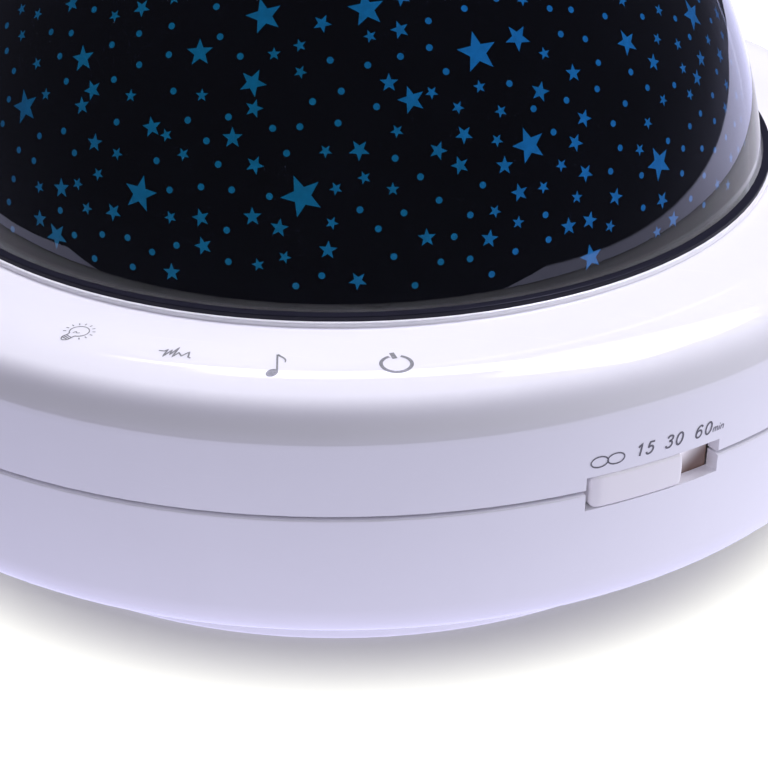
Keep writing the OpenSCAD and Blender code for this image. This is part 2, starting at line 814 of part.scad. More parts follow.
module timer_switch_lever() {
    color([0.1, 0.1, 0.11])
    at_knob() {
        translate([case_r + case_wall + loose, -carriage_w / 2, case_z - case_h / 2 + case_wall + loose])
            cube([case_d - 2 * case_wall - 2 * loose, carriage_w, case_h - 2 * case_wall - 2 * loose]);
        translate([case_r + case_d / 2, -stem_w / 2, case_z - stem_h / 2])
            cube([flange_r - flange_t - 0.2 - case_r - case_d / 2, stem_w, stem_h]);
    }
}

module timer_knob() {
    fork_in = case_r + case_d + 2;
    knob_z0 = slot_z - slot_h / 2 + knob_gap;
    knob_z1 = slot_z + slot_h / 2 - knob_gap;
    color([0.92, 0.91, 0.93]) {
        rotate([0, 0, slot_azimuth - travel_arc / 2 - 90 - knob_arc / 2])
            rotate_extrude(angle = knob_arc)
                polygon([[flange_r - 0.5, knob_z0], [base_r + knob_proud - 0.4, knob_z0],
                    [base_r + knob_proud, knob_z0 + 0.4], [base_r + knob_proud, knob_z1 - 0.4],
                    [base_r + knob_proud - 0.4, knob_z1], [flange_r - 0.5, knob_z1]]);
        sector(flange_r - flange_t, flange_r, slot_z - flange_h / 2, slot_z + flange_h / 2,
            slot_azimuth - travel_arc / 2, flange_arc);
        at_knob() for (side = [-1, 1])
            translate([fork_in, side > 0 ? stem_w / 2 + fit : -stem_w / 2 - fit - fork_t, slot_z - 1.6])
                cube([flange_r - flange_t + 0.4 - fork_in, fork_t, 3.2]);
    }
}

// Power socket -------------------------------------------------------------------------------

module power_board() {
    color([0.1, 0.4, 0.2])
    difference() {
        translate([-power_board_w / 2, power_board_y, socket_z - board_t]) cube([power_board_w, power_board_l, board_t]);
        at_power_screws() translate([0, 0, socket_z - board_t - 1]) cylinder(h = board_t + 2, r = 1.2);
    }
}

module rounded_slot(w, h) {
    union() {
        square([w - h, h], center = true);
        for (x = [-1, 1]) translate([x * (w - h) / 2, 0]) circle(d = h);
    }
}

module power_socket_shell() {
    color([0.8, 0.8, 0.82])
    translate([0, socket_front, socket_z + socket_h / 2]) rotate([90, 0, 0])
    difference() {
        linear_extrude(height = socket_len) rounded_slot(socket_w, socket_h);
        translate([0, 0, -1]) linear_extrude(height = socket_len) rounded_slot(socket_w - 0.6, socket_h - 0.6);
    }
}

module power_socket_tongue() {
    color([0.05, 0.05, 0.06])
    translate([-(socket_w - 2.4) / 2, socket_front - socket_len + 1, socket_z + socket_h / 2 - 0.35])
        cube([socket_w - 2.4, socket_len - 1.8, 0.7]);
}

// Battery bay --------------------------------------------------------------------------------

module battery_door() {
    color([0.93, 0.93, 0.96])
    difference() {
        translate([0, 0, door_z]) linear_extrude(height = door_t) battery_outline(-fit);
        at_door_screws() {
            translate([0, 0, door_z - 1]) cylinder(h = 2, r = 2.3);
            cylinder(h = 4, r = 1.3);
        }
        for (i = [0:5]) translate([-8, bay_y - door_l / 2 + 5 + 2 * i, door_z - 1]) cube([16, 0.8, 1.5]);
    }
}

module battery_door_screws() {
    color([0.7, 0.7, 0.72])
    at_door_screws() translate([0, 0, door_z + 1]) screw(2.1, 0.9, 1, 6.5);
}

function cell_x(i) = (i - (cell_n - 1) / 2) * cell_pitch;
cell_z = bay_floor + cell_d / 2 + fit;

// Cells lie along Y and point to the front and the rear in turn
module at_cell(i) {
    translate([cell_x(i), bay_y, cell_z]) rotate([0, 0, i % 2 == 0 ? 0 : 180]) rotate([90, 0, 0]) children();
}

module battery_cells() {
    color([0.3, 0.3, 0.32])
    for (i = [0:cell_n - 1]) at_cell(i)
        translate([0, 0, -bay_l / 2 + contact_t + spring_l + fit]) {
            cylinder(h = cell_len, r = cell_d / 2);
            cylinder(h = cell_len + button_l, r = button_r);
        }
}

module contact_spring() {
    wire_r = 0.4;
    turns = 5;
    step = (spring_l - 2 * wire_r) / (turns - 1);
    for (i = [0:turns - 1])
        translate([0, 0, wire_r + step * i])
            rotate_extrude($fn = 48) translate([4.2 - 0.3 * i, 0]) circle(r = wire_r, $fn = 16);
}

module battery_contacts() {
    plate = 9;
    color([0.75, 0.75, 0.7])
    for (i = [0:cell_n - 1]) at_cell(i) {
        translate([-plate / 2, -plate / 2, -bay_l / 2 + 0.05]) cube([plate, plate, contact_t]);
        translate([0, 0, -bay_l / 2 + contact_t + 0.02]) contact_spring();
        translate([-plate / 2, -plate / 2, bay_l / 2 - contact_t - 0.05]) cube([plate, plate, contact_t]);
    }
}

// Speaker ------------------------------------------------------------------------------------

module at_speaker() {
    translate([0, -speaker_y, 0]) children();
}

module speaker_gasket() {
    color([0.15, 0.15, 0.16])
    at_speaker() translate([0, 0, floor_top]) tube(speaker_r, speaker_r - 4, gasket_t);
}

module speaker_frame() {
    color([0.5, 0.5, 0.52])
    at_speaker()
    difference() {
        rotate_extrude()
            polygon([[basket_r - 1, flange_z], [speaker_r, flange_z], [speaker_r, speaker_top],
                [basket_r, speaker_top], [magnet_r + 1, speaker_top + basket_h - 1],
                [magnet_r + 1, speaker_top + basket_h], [4, speaker_top + basket_h],
                [4, speaker_top + basket_h - 1], [magnet_r, speaker_top + basket_h - 1],
                [basket_r - 1, speaker_top]]);
        for (i = [0:3]) rotate([0, 0, 90 * i]) translate([magnet_r + 2, -3, speaker_top + 2]) cube([5, 6, basket_h - 4.5]);
    }
}

module speaker_magnet() {
    color([0.2, 0.2, 0.22])
    at_speaker() translate([0, 0, speaker_top + basket_h]) {
        cylinder(h = magnet_h, r = magnet_r);
        cylinder(h = magnet_h + 1.2, r = magnet_r - 2);
    }
}

module speaker_cone() {
    rim_r = basket_r - 1 - fit;
    color([0.1, 0.1, 0.1])
    at_speaker() rotate_extrude()
        polygon(concat([[rim_r, flange_z], [rim_r, flange_z + 0.5]],
            arc([rim_r - 1.4, flange_z + 0.5], 0.9, 60, 180, 6),
            [[5, speaker_top + 5], [0, speaker_top + 6], [0, speaker_top + 5.5], [4.8, speaker_top + 4.4],
                [rim_r - 2.2, flange_z]]));
}

module speaker_screws() {
    color([0.7, 0.7, 0.72])
    at_speaker_screws() translate([0, 0, speaker_top + eps]) rotate([180, 0, 0]) screw(3.2, 1.2, 0.8, 1.6);
}

// Fasteners and feet -------------------------------------------------------------------------

module housing_screws() {
    color([0.7, 0.7, 0.72])
    at_azimuths(screw_azimuths) translate([screw_circle_r, 0, counterbore_z]) screw(2.8, 2.2, shank_r, shank_len);
}

module rubber_feet() {
    color([0.2, 0.2, 0.2])
    at_feet() {
        translate([0, 0, 0.3]) cylinder(h = floor_z + foot_t_in - 0.3, r = foot_r);
        cylinder(h = 0.3 + eps, r1 = foot_r - 0.3, r2 = foot_r);
    }
}

// Leads: round wires swept along smooth paths --------------------------------------------------

function unit(v) = v / norm(v);

// One point of a Catmull-Rom curve through four points
function curve_point(p, t) = 0.5 * (2 * p[1] + (p[2] - p[0]) * t
    + (2 * p[0] - 5 * p[1] + 4 * p[2] - p[3]) * t * t
    + (3 * p[1] - p[0] - 3 * p[2] + p[3]) * t * t * t);

function smooth_path(points, n) = concat(
    [for (i = [0:len(points) - 2], k = [0:n - 1])
        curve_point([points[max(i - 1, 0)], points[i], points[i + 1], points[min(i + 2, len(points) - 1)]], k / n)],
    [points[len(points) - 1]]);

// One normal for each point, each kept square to the path and as near as can be to the last
function carried_normals(tangents) = [
    for (i = 0, n = unit(cross(tangents[0], [1, 0.3, 0.2])); i < len(tangents);
        i = i + 1, n = i < len(tangents) ? unit(n - (n * tangents[i]) * tangents[i]) : n) n];

module lead(points, r = 0.9, n = 4, sides = 8) {
    path = smooth_path(points, n);
    last = len(path) - 1;
    tangents = concat([unit(points[1] - points[0])],
        [for (i = [1:last - 1]) unit(path[i + 1] - path[i - 1])],
        [unit(points[len(points) - 1] - points[len(points) - 2])]);
    normals = carried_normals(tangents);
    rings = [for (i = [0:last], k = [0:sides - 1])
        let (a = 360 * k / sides, side = cross(tangents[i], normals[i]))
        path[i] + r * (cos(a) * normals[i] + sin(a) * side)];
    faces = [for (i = [0:last - 1], k = [0:sides - 1])
        let (a = i * sides + k, b = i * sides + (k + 1) % sides)
        [a, a + sides, b + sides, b]];
    ends = [[for (k = [0:sides - 1]) k], [for (k = [sides - 1:-1:0]) last * sides + k]];
    polyhedron(points = rings, faces = concat(faces, ends));
}

lead_gap = 0.25;
slot_dir = [sin(slot_azimuth), -cos(slot_azimuth)];
timer_lead_r = case_r - board_t - lead_gap;
lead_top = connector_z + 5;

touch_route = [[front_connectors[1], -touch_board_r, touch_board_z - lead_gap],
    [front_connectors[1], -touch_board_r, touch_board_z - 5], [front_connectors[1], -72, 38],
    [front_connectors[1], -45, 37], [front_connectors[1], -10, 38], [front_connectors[1], connector_front_y, lead_top],
    [front_connectors[1], connector_front_y, connector_z + lead_gap]];
lamp_route = [[0, 0, lamp_z - lead_gap], [0, 0, lamp_z - lamp_post_h / 2], [0, 0, deck_z], [2, 1, deck_z - 5],
    [front_connectors[2], connector_front_y, lead_top], [front_connectors[2], connector_front_y, connector_z + lead_gap]];
timer_route = [[timer_lead_r * slot_dir[0], timer_lead_r * slot_dir[1], 31],
    [(timer_lead_r - 5) * slot_dir[0], (timer_lead_r - 5) * slot_dir[1], 31], [38, -42, 33], [26, -12, 36],
    [front_connectors[3], connector_front_y, lead_top], [front_connectors[3], connector_front_y, connector_z + lead_gap]];
speaker_route = [[-basket_r * 0.7, -speaker_y, speaker_top + basket_h + 0.5],
    [-basket_r * 0.7 - 1, -speaker_y + 1, speaker_top + basket_h + 5], [-20, -28, 28], [-22, -8, 34],
    [front_connectors[0], connector_front_y, lead_top], [front_connectors[0], connector_front_y, connector_z + lead_gap]];
bay_rear = bay_y + bay_l / 2 + bay_wall;
battery_route = [[-12, bay_rear + lead_gap, 12], [-12, bay_rear + 4, 13], [-12, bay_rear + 6, 22],
    [-12, bay_rear + 2, 33], [-12, connector_rear_y, lead_top], [-12, connector_rear_y, connector_z + lead_gap]];
power_route = [[6, power_board_y - lead_gap, socket_z - board_t / 2], [6, power_board_y - 4, socket_z],
    [9, 71, 27], [12, 65, 34], [12, connector_rear_y, lead_top], [12, connector_rear_y, connector_z + lead_gap]];

module inner_leads() {
    color([0.7, 0.12, 0.1])
    for (route = [touch_route, lamp_route, timer_route, speaker_route, battery_route, power_route]) lead(route);
}

upper_housing();
lower_housing();
dome_cover();
star_mask();
dome_ring();
dome_screws();
light_deck();
lamp_post();
lamp_post_screws();
lamp_board();
lamp_leds();
main_board();
board_chips();
board_capacitors();
board_connectors();
board_screws();
touch_board();
touch_pads();
touch_board_screws();
timer_board();
timer_switch_case();
timer_switch_lever();
timer_knob();
power_board();
power_socket_shell();
power_socket_tongue();
battery_door();
battery_door_screws();
battery_cells();
battery_contacts();
speaker_frame();
speaker_cone();
speaker_magnet();
speaker_gasket();
speaker_screws();
housing_screws();
rubber_feet();
inner_leads();
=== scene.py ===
import logging
import math
from dataclasses import dataclass, field, replace
from enum import Enum
from typing import Any, Callable, Sequence

import bpy
import numpy as np
from mathutils import Matrix, Vector


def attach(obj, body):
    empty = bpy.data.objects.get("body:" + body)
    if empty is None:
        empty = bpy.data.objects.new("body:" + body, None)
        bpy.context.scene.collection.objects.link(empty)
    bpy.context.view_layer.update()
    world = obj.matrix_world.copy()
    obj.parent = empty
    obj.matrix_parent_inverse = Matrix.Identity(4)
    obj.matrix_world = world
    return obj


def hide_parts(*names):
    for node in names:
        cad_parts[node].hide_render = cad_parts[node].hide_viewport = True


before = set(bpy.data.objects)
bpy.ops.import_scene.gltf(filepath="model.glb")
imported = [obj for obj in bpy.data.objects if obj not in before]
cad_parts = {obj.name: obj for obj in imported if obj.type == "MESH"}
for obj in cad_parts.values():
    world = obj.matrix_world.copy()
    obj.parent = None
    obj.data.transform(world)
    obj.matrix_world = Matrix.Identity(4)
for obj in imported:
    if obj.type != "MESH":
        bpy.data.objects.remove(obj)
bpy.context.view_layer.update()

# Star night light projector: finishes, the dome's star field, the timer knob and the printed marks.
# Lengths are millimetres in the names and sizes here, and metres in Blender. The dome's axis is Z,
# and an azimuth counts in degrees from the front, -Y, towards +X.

MM = 0.001
LOG = logging.getLogger("star_light")

Colour = tuple[float, float, float]
Pair = tuple[float, float]
Point = tuple[float, float, float]
Face = tuple[int, ...]
Laying = Callable[[float, float], Point]
Socket = bpy.types.NodeSocket


class Body(Enum):
    """The bodies that a piece can ride on."""

    BASE = "base"
    SLIDER = "timer_slider"


# Node trees -----------------------------------------------------------------------------------


class Tree:
    """Adds nodes to a shader or geometry tree and joins them."""

    def __init__(self, tree: bpy.types.NodeTree) -> None:
        """Keeps the tree that nodes are added to."""
        self.tree = tree

    def add(self, kind: str, inputs: dict[Any, Any] | None = None, **settings: Any) -> bpy.types.Node:
        """Adds one node.

        Args:
            kind: Blender's name of the node type.
            inputs: Sockets or plain values of its inputs, by name or number.
            settings: Its other properties.

        Returns:
            The node.
        """
        node = self.tree.nodes.new(kind)
        for key, value in settings.items():
            setattr(node, key, value)
        for key, value in (inputs or {}).items():
            if isinstance(value, Socket):
                self.tree.links.new(value, node.inputs[key])
            else:
                node.inputs[key].default_value = value
        return node

    def math(self, operation: str, *values: Any, clamp: bool = False) -> Socket:
        """Adds a Math node that works on sockets and numbers, and gives its result."""
        kind = "ShaderNodeMath"
        return self.add(kind, dict(enumerate(values)), operation=operation, use_clamp=clamp).outputs[0]

    def vector(self, operation: str, *values: Any, scale: Any = None) -> Socket:
        """Adds a Vector Math node.

        Args:
            operation: The operation's name.
            values: Sockets or vectors that it works on.
            scale: The factor of a SCALE operation.

        Returns:
            The socket of the vector result.
        """
        inputs: dict[Any, Any] = dict(enumerate(values))
        if scale is not None:
            inputs["Scale"] = scale
        return self.add("ShaderNodeVectorMath", inputs, operation=operation).outputs["Vector"]

    def axes(self, vector: Any) -> Any:
        """Splits a vector, and gives its parts by X, Y and Z."""
        return self.add("ShaderNodeSeparateXYZ", {0: vector}).outputs

    def span(self, value: Any, low: float, high: float, to_low: Any = 0.0, to_high: Any = 1.0,
             smooth: bool = False) -> Socket:
        """Maps a value from one range to another and clamps it there.

        Args:
            value: The socket to map.
            low: Start of its range.
            high: End of its range.
            to_low: What the start becomes.
            to_high: What the end becomes.
            smooth: Whether the change eases in and out.

        Returns:
            The result's socket.
        """
        inputs = {0: value, 1: low, 2: high, 3: to_low, 4: to_high}
        kind = "SMOOTHSTEP" if smooth else "LINEAR"
        return self.add("ShaderNodeMapRange", inputs, interpolation_type=kind).outputs[0]

    def between(self, mask: Any, low: float, high: float) -> Socket:
        """Turns a mask from 0 to 1 into a value from low to high."""
        return self.span(mask, 0.0, 1.0, low, high)

    def choose(self, factor: Any, first: Any, second: Any) -> Socket:
        """Mixes two numbers, with the first at a factor of 0."""
        return self.add("ShaderNodeMix", {0: factor, 2: first, 3: second}, data_type="FLOAT").outputs[0]

    def mix(self, factor: Any, first: Any, second: Any) -> Socket:
        """Mixes two colours, with the first at a factor of 0."""
        inputs = {0: factor, 6: rgba(first), 7: rgba(second)}
        return self.add("ShaderNodeMix", inputs, data_type="RGBA", clamp_factor=True).outputs[2]

    def noise(self, vector: Any, scale: Any, detail: float = 2.0, roughness: float = 0.5) -> Socket:
        """Adds a noise of one value. Its scale is in waves per unit of the vector."""
        inputs = {"Vector": vector, "Scale": scale, "Detail": detail, "Roughness": roughness}
        return self.add("ShaderNodeTexNoise", inputs).outputs["Fac"]

    def bump(self, height: Any, depth: float) -> Socket:
        """Turns a height from 0 to 1 into a normal, for a depth in millimetres."""
        inputs = {"Strength": 1.0, "Distance": depth * MM, "Height": height}
        return self.add("ShaderNodeBump", inputs).outputs[0]

    def named(self, name: str, kind: str = "FLOAT") -> Socket:
        """Reads a named attribute of the geometry."""
        return self.add("GeometryNodeInputNamedAttribute", {"Name": name}, data_type=kind).outputs[0]


def rgba(colour: Any) -> Any:
    """Gives a plain colour its alpha, and leaves a socket as it is."""
    return colour if isinstance(colour, Socket) else (*colour, 1.0)


def shaded(colour: Colour, factor: float) -> Colour:
    """A colour whose three numbers are multiplied by a factor."""
    return tuple(channel * factor for channel in colour)


def add_input(group: bpy.types.NodeTree, name: str, kind: str, value: Any = None) -> None:
    """Adds a named input to a node group.

    Args:
        group: The group.
        name: The input's name.
        kind: Its type, such as Float.
        value: What it is where nothing is given.
    """
    socket = group.interface.new_socket(name, in_out="INPUT", socket_type=f"NodeSocket{kind}")
    if value is not None:
        socket.default_value = value


def add_output(group: bpy.types.NodeTree, name: str, kind: str) -> None:
    """Adds a named output to a node group. See add_input for the arguments."""
    group.interface.new_socket(name, in_out="OUTPUT", socket_type=f"NodeSocket{kind}")


# Shared effects: node groups that give masks and heights ---------------------------------------


class Effect:
    """A shader node group that more than one finish uses. Its lengths are millimetres."""

    name = "effect"
    sizes: dict[str, float] = {}
    outputs: tuple[str, ...] = ()

    @classmethod
    def draw(cls, tree: Tree, place: Socket, size: Callable[[str], Socket]) -> tuple[Socket, ...]:
        """Draws the effect.

        Args:
            tree: The group's tree.
            place: The place in millimetres.
            size: Gives the socket of a named size.

        Returns:
            One socket for each name in outputs.
        """
        raise NotImplementedError

    @classmethod
    def group(cls) -> bpy.types.NodeTree:
        """Builds the group the first time, and gives the same one after that."""
        known = bpy.data.node_groups.get(cls.name)
        if known is not None:
            return known
        group = bpy.data.node_groups.new(cls.name, "ShaderNodeTree")
        add_input(group, "Vector", "Vector")
        for name, value in cls.sizes.items():
            add_input(group, name, "Float", value)
        for name in cls.outputs:
            add_output(group, name, "Float")
        tree = Tree(group)
        given = tree.add("NodeGroupInput")
        place = tree.vector("SCALE", given.outputs["Vector"], scale=1.0 / MM)
        results = cls.draw(tree, place, lambda name: given.outputs[name])
        tree.add("NodeGroupOutput", dict(zip(cls.outputs, results)))
        return group

    @classmethod
    def on(cls, tree: Tree, place: Socket, **sizes: float) -> bpy.types.Node:
        """Places the group in a material, with sizes that differ from its own, and _ for a space."""
        inputs = {key.replace("_", " "): value for key, value in sizes.items()}
        return tree.add("ShaderNodeGroup", {"Vector": place, **inputs}, node_tree=cls.group())


class MouldedSkin(Effect):
    """The skin of a moulded plastic: long ripples, handling smudges and hairline scratches."""

    name = "moulded_skin"
    sizes = {"Ripple": 3.0, "Smudge": 14.0, "Hairline": 9.0}
    outputs = ("Ripple", "Smudge", "Hairline")

    @classmethod
    def draw(cls, tree: Tree, place: Socket, size: Callable[[str], Socket]) -> tuple[Socket, ...]:
        """Draws the three masks. See Effect.draw for the arguments."""
        ripple = tree.noise(place, tree.math("DIVIDE", 1.0, size("Ripple")), detail=1.0)
        cloud = tree.noise(place, tree.math("DIVIDE", 1.0, size("Smudge")), detail=5.0, roughness=0.62)
        turned = tree.add("ShaderNodeMapping", {"Vector": place, "Rotation": (0.4, 0.9, 0.7),
                                                "Scale": (0.06, 2.4, 2.4)}).outputs[0]
        streak = tree.noise(turned, tree.math("DIVIDE", 9.0, size("Hairline")), detail=2.0)
        return ripple, tree.span(cloud, 0.36, 0.68), tree.span(streak, 0.66, 0.71)


class BrushedLines(Effect):
    """Fine lines of drawn, turned or pressed metal."""

    name = "brushed_lines"
    sizes = {"Line": 0.35, "Stretch": 14.0}
    outputs = ("Lines", "Blotch")

    @classmethod
    def draw(cls, tree: Tree, place: Socket, size: Callable[[str], Socket]) -> tuple[Socket, ...]:
        """Draws the lines and a slow blotch. See Effect.draw for the arguments."""
        parts = tree.axes(place)
        slow = tree.math("DIVIDE", parts["X"], size("Stretch"))
        drawn = tree.add("ShaderNodeCombineXYZ", {0: slow, 1: parts["Y"], 2: parts["Z"]}).outputs[0]
        lines = tree.noise(drawn, tree.math("DIVIDE", 1.0, size("Line")), detail=3.0, roughness=0.6)
        return lines, tree.span(tree.noise(place, 0.22, detail=3.0), 0.3, 0.7)


class CopperTracks(Effect):
    """Tracks and round pads under a circuit board's lacquer."""

    name = "copper_tracks"
    sizes = {"Pitch": 1.1}
    outputs = ("Tracks", "Pads")

    @classmethod
    def draw(cls, tree: Tree, place: Socket, size: Callable[[str], Socket]) -> tuple[Socket, ...]:
        """Draws tracks that run one way in each patch, and pads. See Effect.draw for the arguments."""
        step = tree.vector("SCALE", place, scale=tree.math("DIVIDE", 1.0, size("Pitch")))
        parts = tree.axes(step)
        patch = tree.add("ShaderNodeTexVoronoi", {"Vector": step, "Scale": 0.14, "Randomness": 0.7},
                         distance="CHEBYCHEV").outputs["Color"]
        way = tree.math("GREATER_THAN", tree.add("ShaderNodeSeparateColor", {0: patch}).outputs[0], 0.5)
        along = tree.choose(way, parts["X"], parts["Y"])
        away = tree.math("ABSOLUTE", tree.math("SUBTRACT", tree.math("FRACT", along), 0.5))
        gate = tree.math("GREATER_THAN", tree.noise(step, 0.12, detail=0.0), 0.46)
        tracks = tree.math("MULTIPLY", tree.math("LESS_THAN", away, 0.17), gate)
        dots = tree.add("ShaderNodeTexVoronoi", {"Vector": step, "Scale": 0.4, "Randomness": 0.35})
        return tracks, tree.math("LESS_THAN", dots.outputs["Distance"], 0.2)


class OpenCells(Effect):
    """Cells of foam, or the pebbled skin of rubber."""

    name = "open_cells"
    sizes = {"Cell": 0.4}
    outputs = ("Height", "Shade")

    @classmethod
    def draw(cls, tree: Tree, place: Socket, size: Callable[[str], Socket]) -> tuple[Socket, ...]:
        """Draws the cells and a slow shade. See Effect.draw for the arguments."""
        inputs = {"Vector": place, "Scale": tree.math("DIVIDE", 1.0, size("Cell"))}
        cells = tree.add("ShaderNodeTexVoronoi", inputs, feature="SMOOTH_F1").outputs["Distance"]
        return tree.span(cells, 0.1, 0.7), tree.noise(place, 0.3, detail=3.0)


class PressedFibre(Effect):
    """Short fibres of pressed paper."""

    name = "pressed_fibre"
    sizes = {"Fibre": 0.5}
    outputs = ("Height", "Shade")

    @classmethod
    def draw(cls, tree: Tree, place: Socket, size: Callable[[str], Socket]) -> tuple[Socket, ...]:
        """Draws two crossed layers of fibres and a slow shade. See Effect.draw for the arguments."""
        layers = []
        waves = tree.math("DIVIDE", 1.0, size("Fibre"))
        for turn in (0.3, 1.9):
            laid = tree.add("ShaderNodeMapping", {"Vector": place, "Rotation": (0.0, 0.0, turn),
                                                  "Scale": (0.3, 1.6, 1.0)}).outputs[0]
            layers.append(tree.noise(laid, waves, detail=3.0, roughness=0.7))
        return tree.math("MAXIMUM", *layers), tree.noise(place, 0.15, detail=2.0)


# Finishes ---------------------------------------------------------------------------------------

_MATERIALS: dict[str, bpy.types.Material] = {}


@dataclass(frozen=True)
class Finish:
    """A finish. Its slot names a slot of the record, which nothing here reads."""

    name: str
    slot: str

    def material(self) -> bpy.types.Material:
        """Builds the material the first time, and gives the same one after that."""
        if self.name not in _MATERIALS:
            material = bpy.data.materials.new(self.name)
            material.use_nodes = True
            material.node_tree.nodes.clear()
            tree = Tree(material.node_tree)
            place = tree.add("ShaderNodeTexCoord").outputs["Object"]
            surface = self.shade(tree, place)
            tree.add("ShaderNodeOutputMaterial", {"Surface": surface})
            _MATERIALS[self.name] = material
        return _MATERIALS[self.name]

    def shade(self, tree: Tree, place: Socket) -> Socket:
        """Builds the shader.

        Args:
            tree: The material's tree.
            place: Object coordinates.

        Returns:
            The shader's socket.
        """
        raise NotImplementedError


def principled(tree: Tree, **inputs: Any) -> Socket:
    """Adds a Principled BSDF with the inputs given, and _ for a space."""
    named = {key.replace("_", " "): value for key, value in inputs.items()}
    return tree.add("ShaderNodeBsdfPrincipled", named).outputs[0]


def lamps_pass(tree: Tree, body: Socket, tint: Colour) -> Socket:
    """Lets lamps shine through a clear body.

    Args:
        tree: The material's tree.
        body: The body's shader.
        tint: What is left of the light.

    Returns:
        The shader's socket.
    """
    clear = tree.add("ShaderNodeBsdfTransparent", {0: rgba(tint)}).outputs[0]
    shadow = tree.add("ShaderNodeLightPath").outputs["Is Shadow Ray"]
    return tree.add("ShaderNodeMixShader", {0: shadow, 1: body, 2: clear}).outputs[0]


@dataclass(frozen=True)
class GlossPlastic(Finish):
    """A polished moulding: an even colour under a clear gloss, a little clouded and scratched."""

    colour: Colour
    roughness: float = 0.3
    gloss: float = 1.0
    gloss_roughness: float = 0.035
    gloss_ior: float = 1.5
    ripple: float = 0.0016
    tone: float = 0.97
    clouded: float = 0.6
    scratched: float = 0.12
    rough_spread: float = 0.07

    def shade(self, tree: Tree, place: Socket) -> Socket:
        """Builds the shader. See Finish.shade for the arguments."""
        skin = MouldedSkin.on(tree, place)
        smudge = skin.outputs["Smudge"]
        colour = tree.mix(tree.math("MULTIPLY", smudge, self.clouded), self.colour,
                          shaded(self.colour, self.tone))
        loss = -self.scratched * self.gloss
        return principled(
            tree, Base_Color=colour, Specular_IOR_Level=0.0,
            Roughness=tree.between(smudge, self.roughness, self.roughness + self.rough_spread),
            Coat_Weight=tree.math("MULTIPLY_ADD", skin.outputs["Hairline"], loss, self.gloss),
            Coat_Roughness=self.gloss_roughness, Coat_IOR=self.gloss_ior,
            Normal=tree.bump(skin.outputs["Ripple"], self.ripple))


@dataclass(frozen=True)
class SatinPlastic(Finish):
    """A plain moulding with a fine eroded grain."""

    colour: Colour
    roughness: float = 0.42
    grain: float = 0.25
    grain_depth: float = 0.004
    tone: float = 0.93

    def shade(self, tree: Tree, place: Socket) -> Socket:
        """Builds the shader. See Finish.shade for the arguments."""
        skin = MouldedSkin.on(tree, place, Ripple=self.grain, Smudge=9.0)
        smudge = skin.outputs["Smudge"]
        return principled(
            tree, Base_Color=tree.mix(smudge, self.colour, shaded(self.colour, self.tone)),
            Roughness=tree.between(smudge, self.roughness, self.roughness + 0.1),
            Normal=tree.bump(skin.outputs["Ripple"], self.grain_depth))


@dataclass(frozen=True)
class DarkClear(Finish):
    """Clear dark plastic. Lamps shine through it on the star film inside."""

    tint: Colour
    ior: float = 1.53
    smudged: float = 0.006
    ripple: float = 0.0004

    def shade(self, tree: Tree, place: Socket) -> Socket:
        """Builds the shader. See Finish.shade for the arguments."""
        skin = MouldedSkin.on(tree, place, Smudge=22.0)
        body = principled(tree, Base_Color=rgba(self.tint), IOR=self.ior, Transmission_Weight=1.0,
                          Roughness=tree.between(skin.outputs["Smudge"], 0.0, self.smudged),
                          Normal=tree.bump(skin.outputs["Ripple"], self.ripple))
        return lamps_pass(tree, body, self.tint)


@dataclass(frozen=True)
class StarFilm(Finish):
    """Black film with faint upright creases, where it was rolled into the dome."""

    colour: Colour

    def shade(self, tree: Tree, place: Socket) -> Socket:
        """Builds the shader. See Finish.shade for the arguments."""
        drawn = tree.add("ShaderNodeMapping", {"Vector": place, "Scale": (140.0, 140.0, 9.0)}).outputs[0]
        folds = tree.noise(drawn, 1.0, detail=2.0)
        smudge = MouldedSkin.on(tree, place, Smudge=16.0).outputs["Smudge"]
        return principled(
            tree, Base_Color=tree.mix(smudge, self.colour, shaded(self.colour, 1.5)),
            Roughness=tree.between(smudge, 0.34, 0.46), Specular_IOR_Level=0.04,
            Normal=tree.bump(folds, 0.12))


@dataclass(frozen=True)
class StarWindow(Finish):
    """The film's clear windows, with painted light: darker on the left, bluer and brighter towards the right
    and the crown, and a painted glow, though they are no lamp. Its reaches are metres.
    """

    left: Colour
    middle: Colour
    right: Colour
    glow: float = 1.0
    left_reach: Pair = (-0.056, -0.012)
    right_reach: Pair = (0.012, 0.05)
    crown_reach: Pair = (0.08, 0.115)
    crown_shift: float = 0.03
    cloud: float = 0.05
    grain: Pair = (0.86, 1.1)

    def shade(self, tree: Tree, place: Socket) -> Socket:
        """Builds the shader. See Finish.shade for the arguments."""
        # Painted light: the colour grows bluer and brighter from the left towards the right and the crown,
        # and the emission, at the strength glow, is a painted glow.
        parts = tree.axes(place)
        cloud = tree.math("MULTIPLY_ADD", tree.noise(place, 45.0, detail=2.0), self.cloud, -self.cloud / 2)
        across = tree.math("ADD", parts["X"], cloud)
        crown = tree.span(parts["Z"], *self.crown_reach)
        raised = tree.math("MULTIPLY_ADD", crown, self.crown_shift, across)
        warm = tree.mix(tree.span(across, *self.left_reach, smooth=True), self.left, self.middle)
        colour = tree.mix(tree.span(raised, *self.right_reach, smooth=True), warm, self.right)
        grain = tree.span(tree.noise(place, 900.0, detail=3.0), 0.3, 0.7, *self.grain)
        grey = tree.add("ShaderNodeCombineColor", {0: grain, 1: grain, 2: grain}).outputs[0]
        lit = tree.add("ShaderNodeMix", {0: 1.0, 6: colour, 7: grey}, data_type="RGBA",
                       blend_type="MULTIPLY").outputs[2]
        return principled(tree, Base_Color=lit, Roughness=0.5, Emission_Color=lit,
                          Emission_Strength=self.glow)


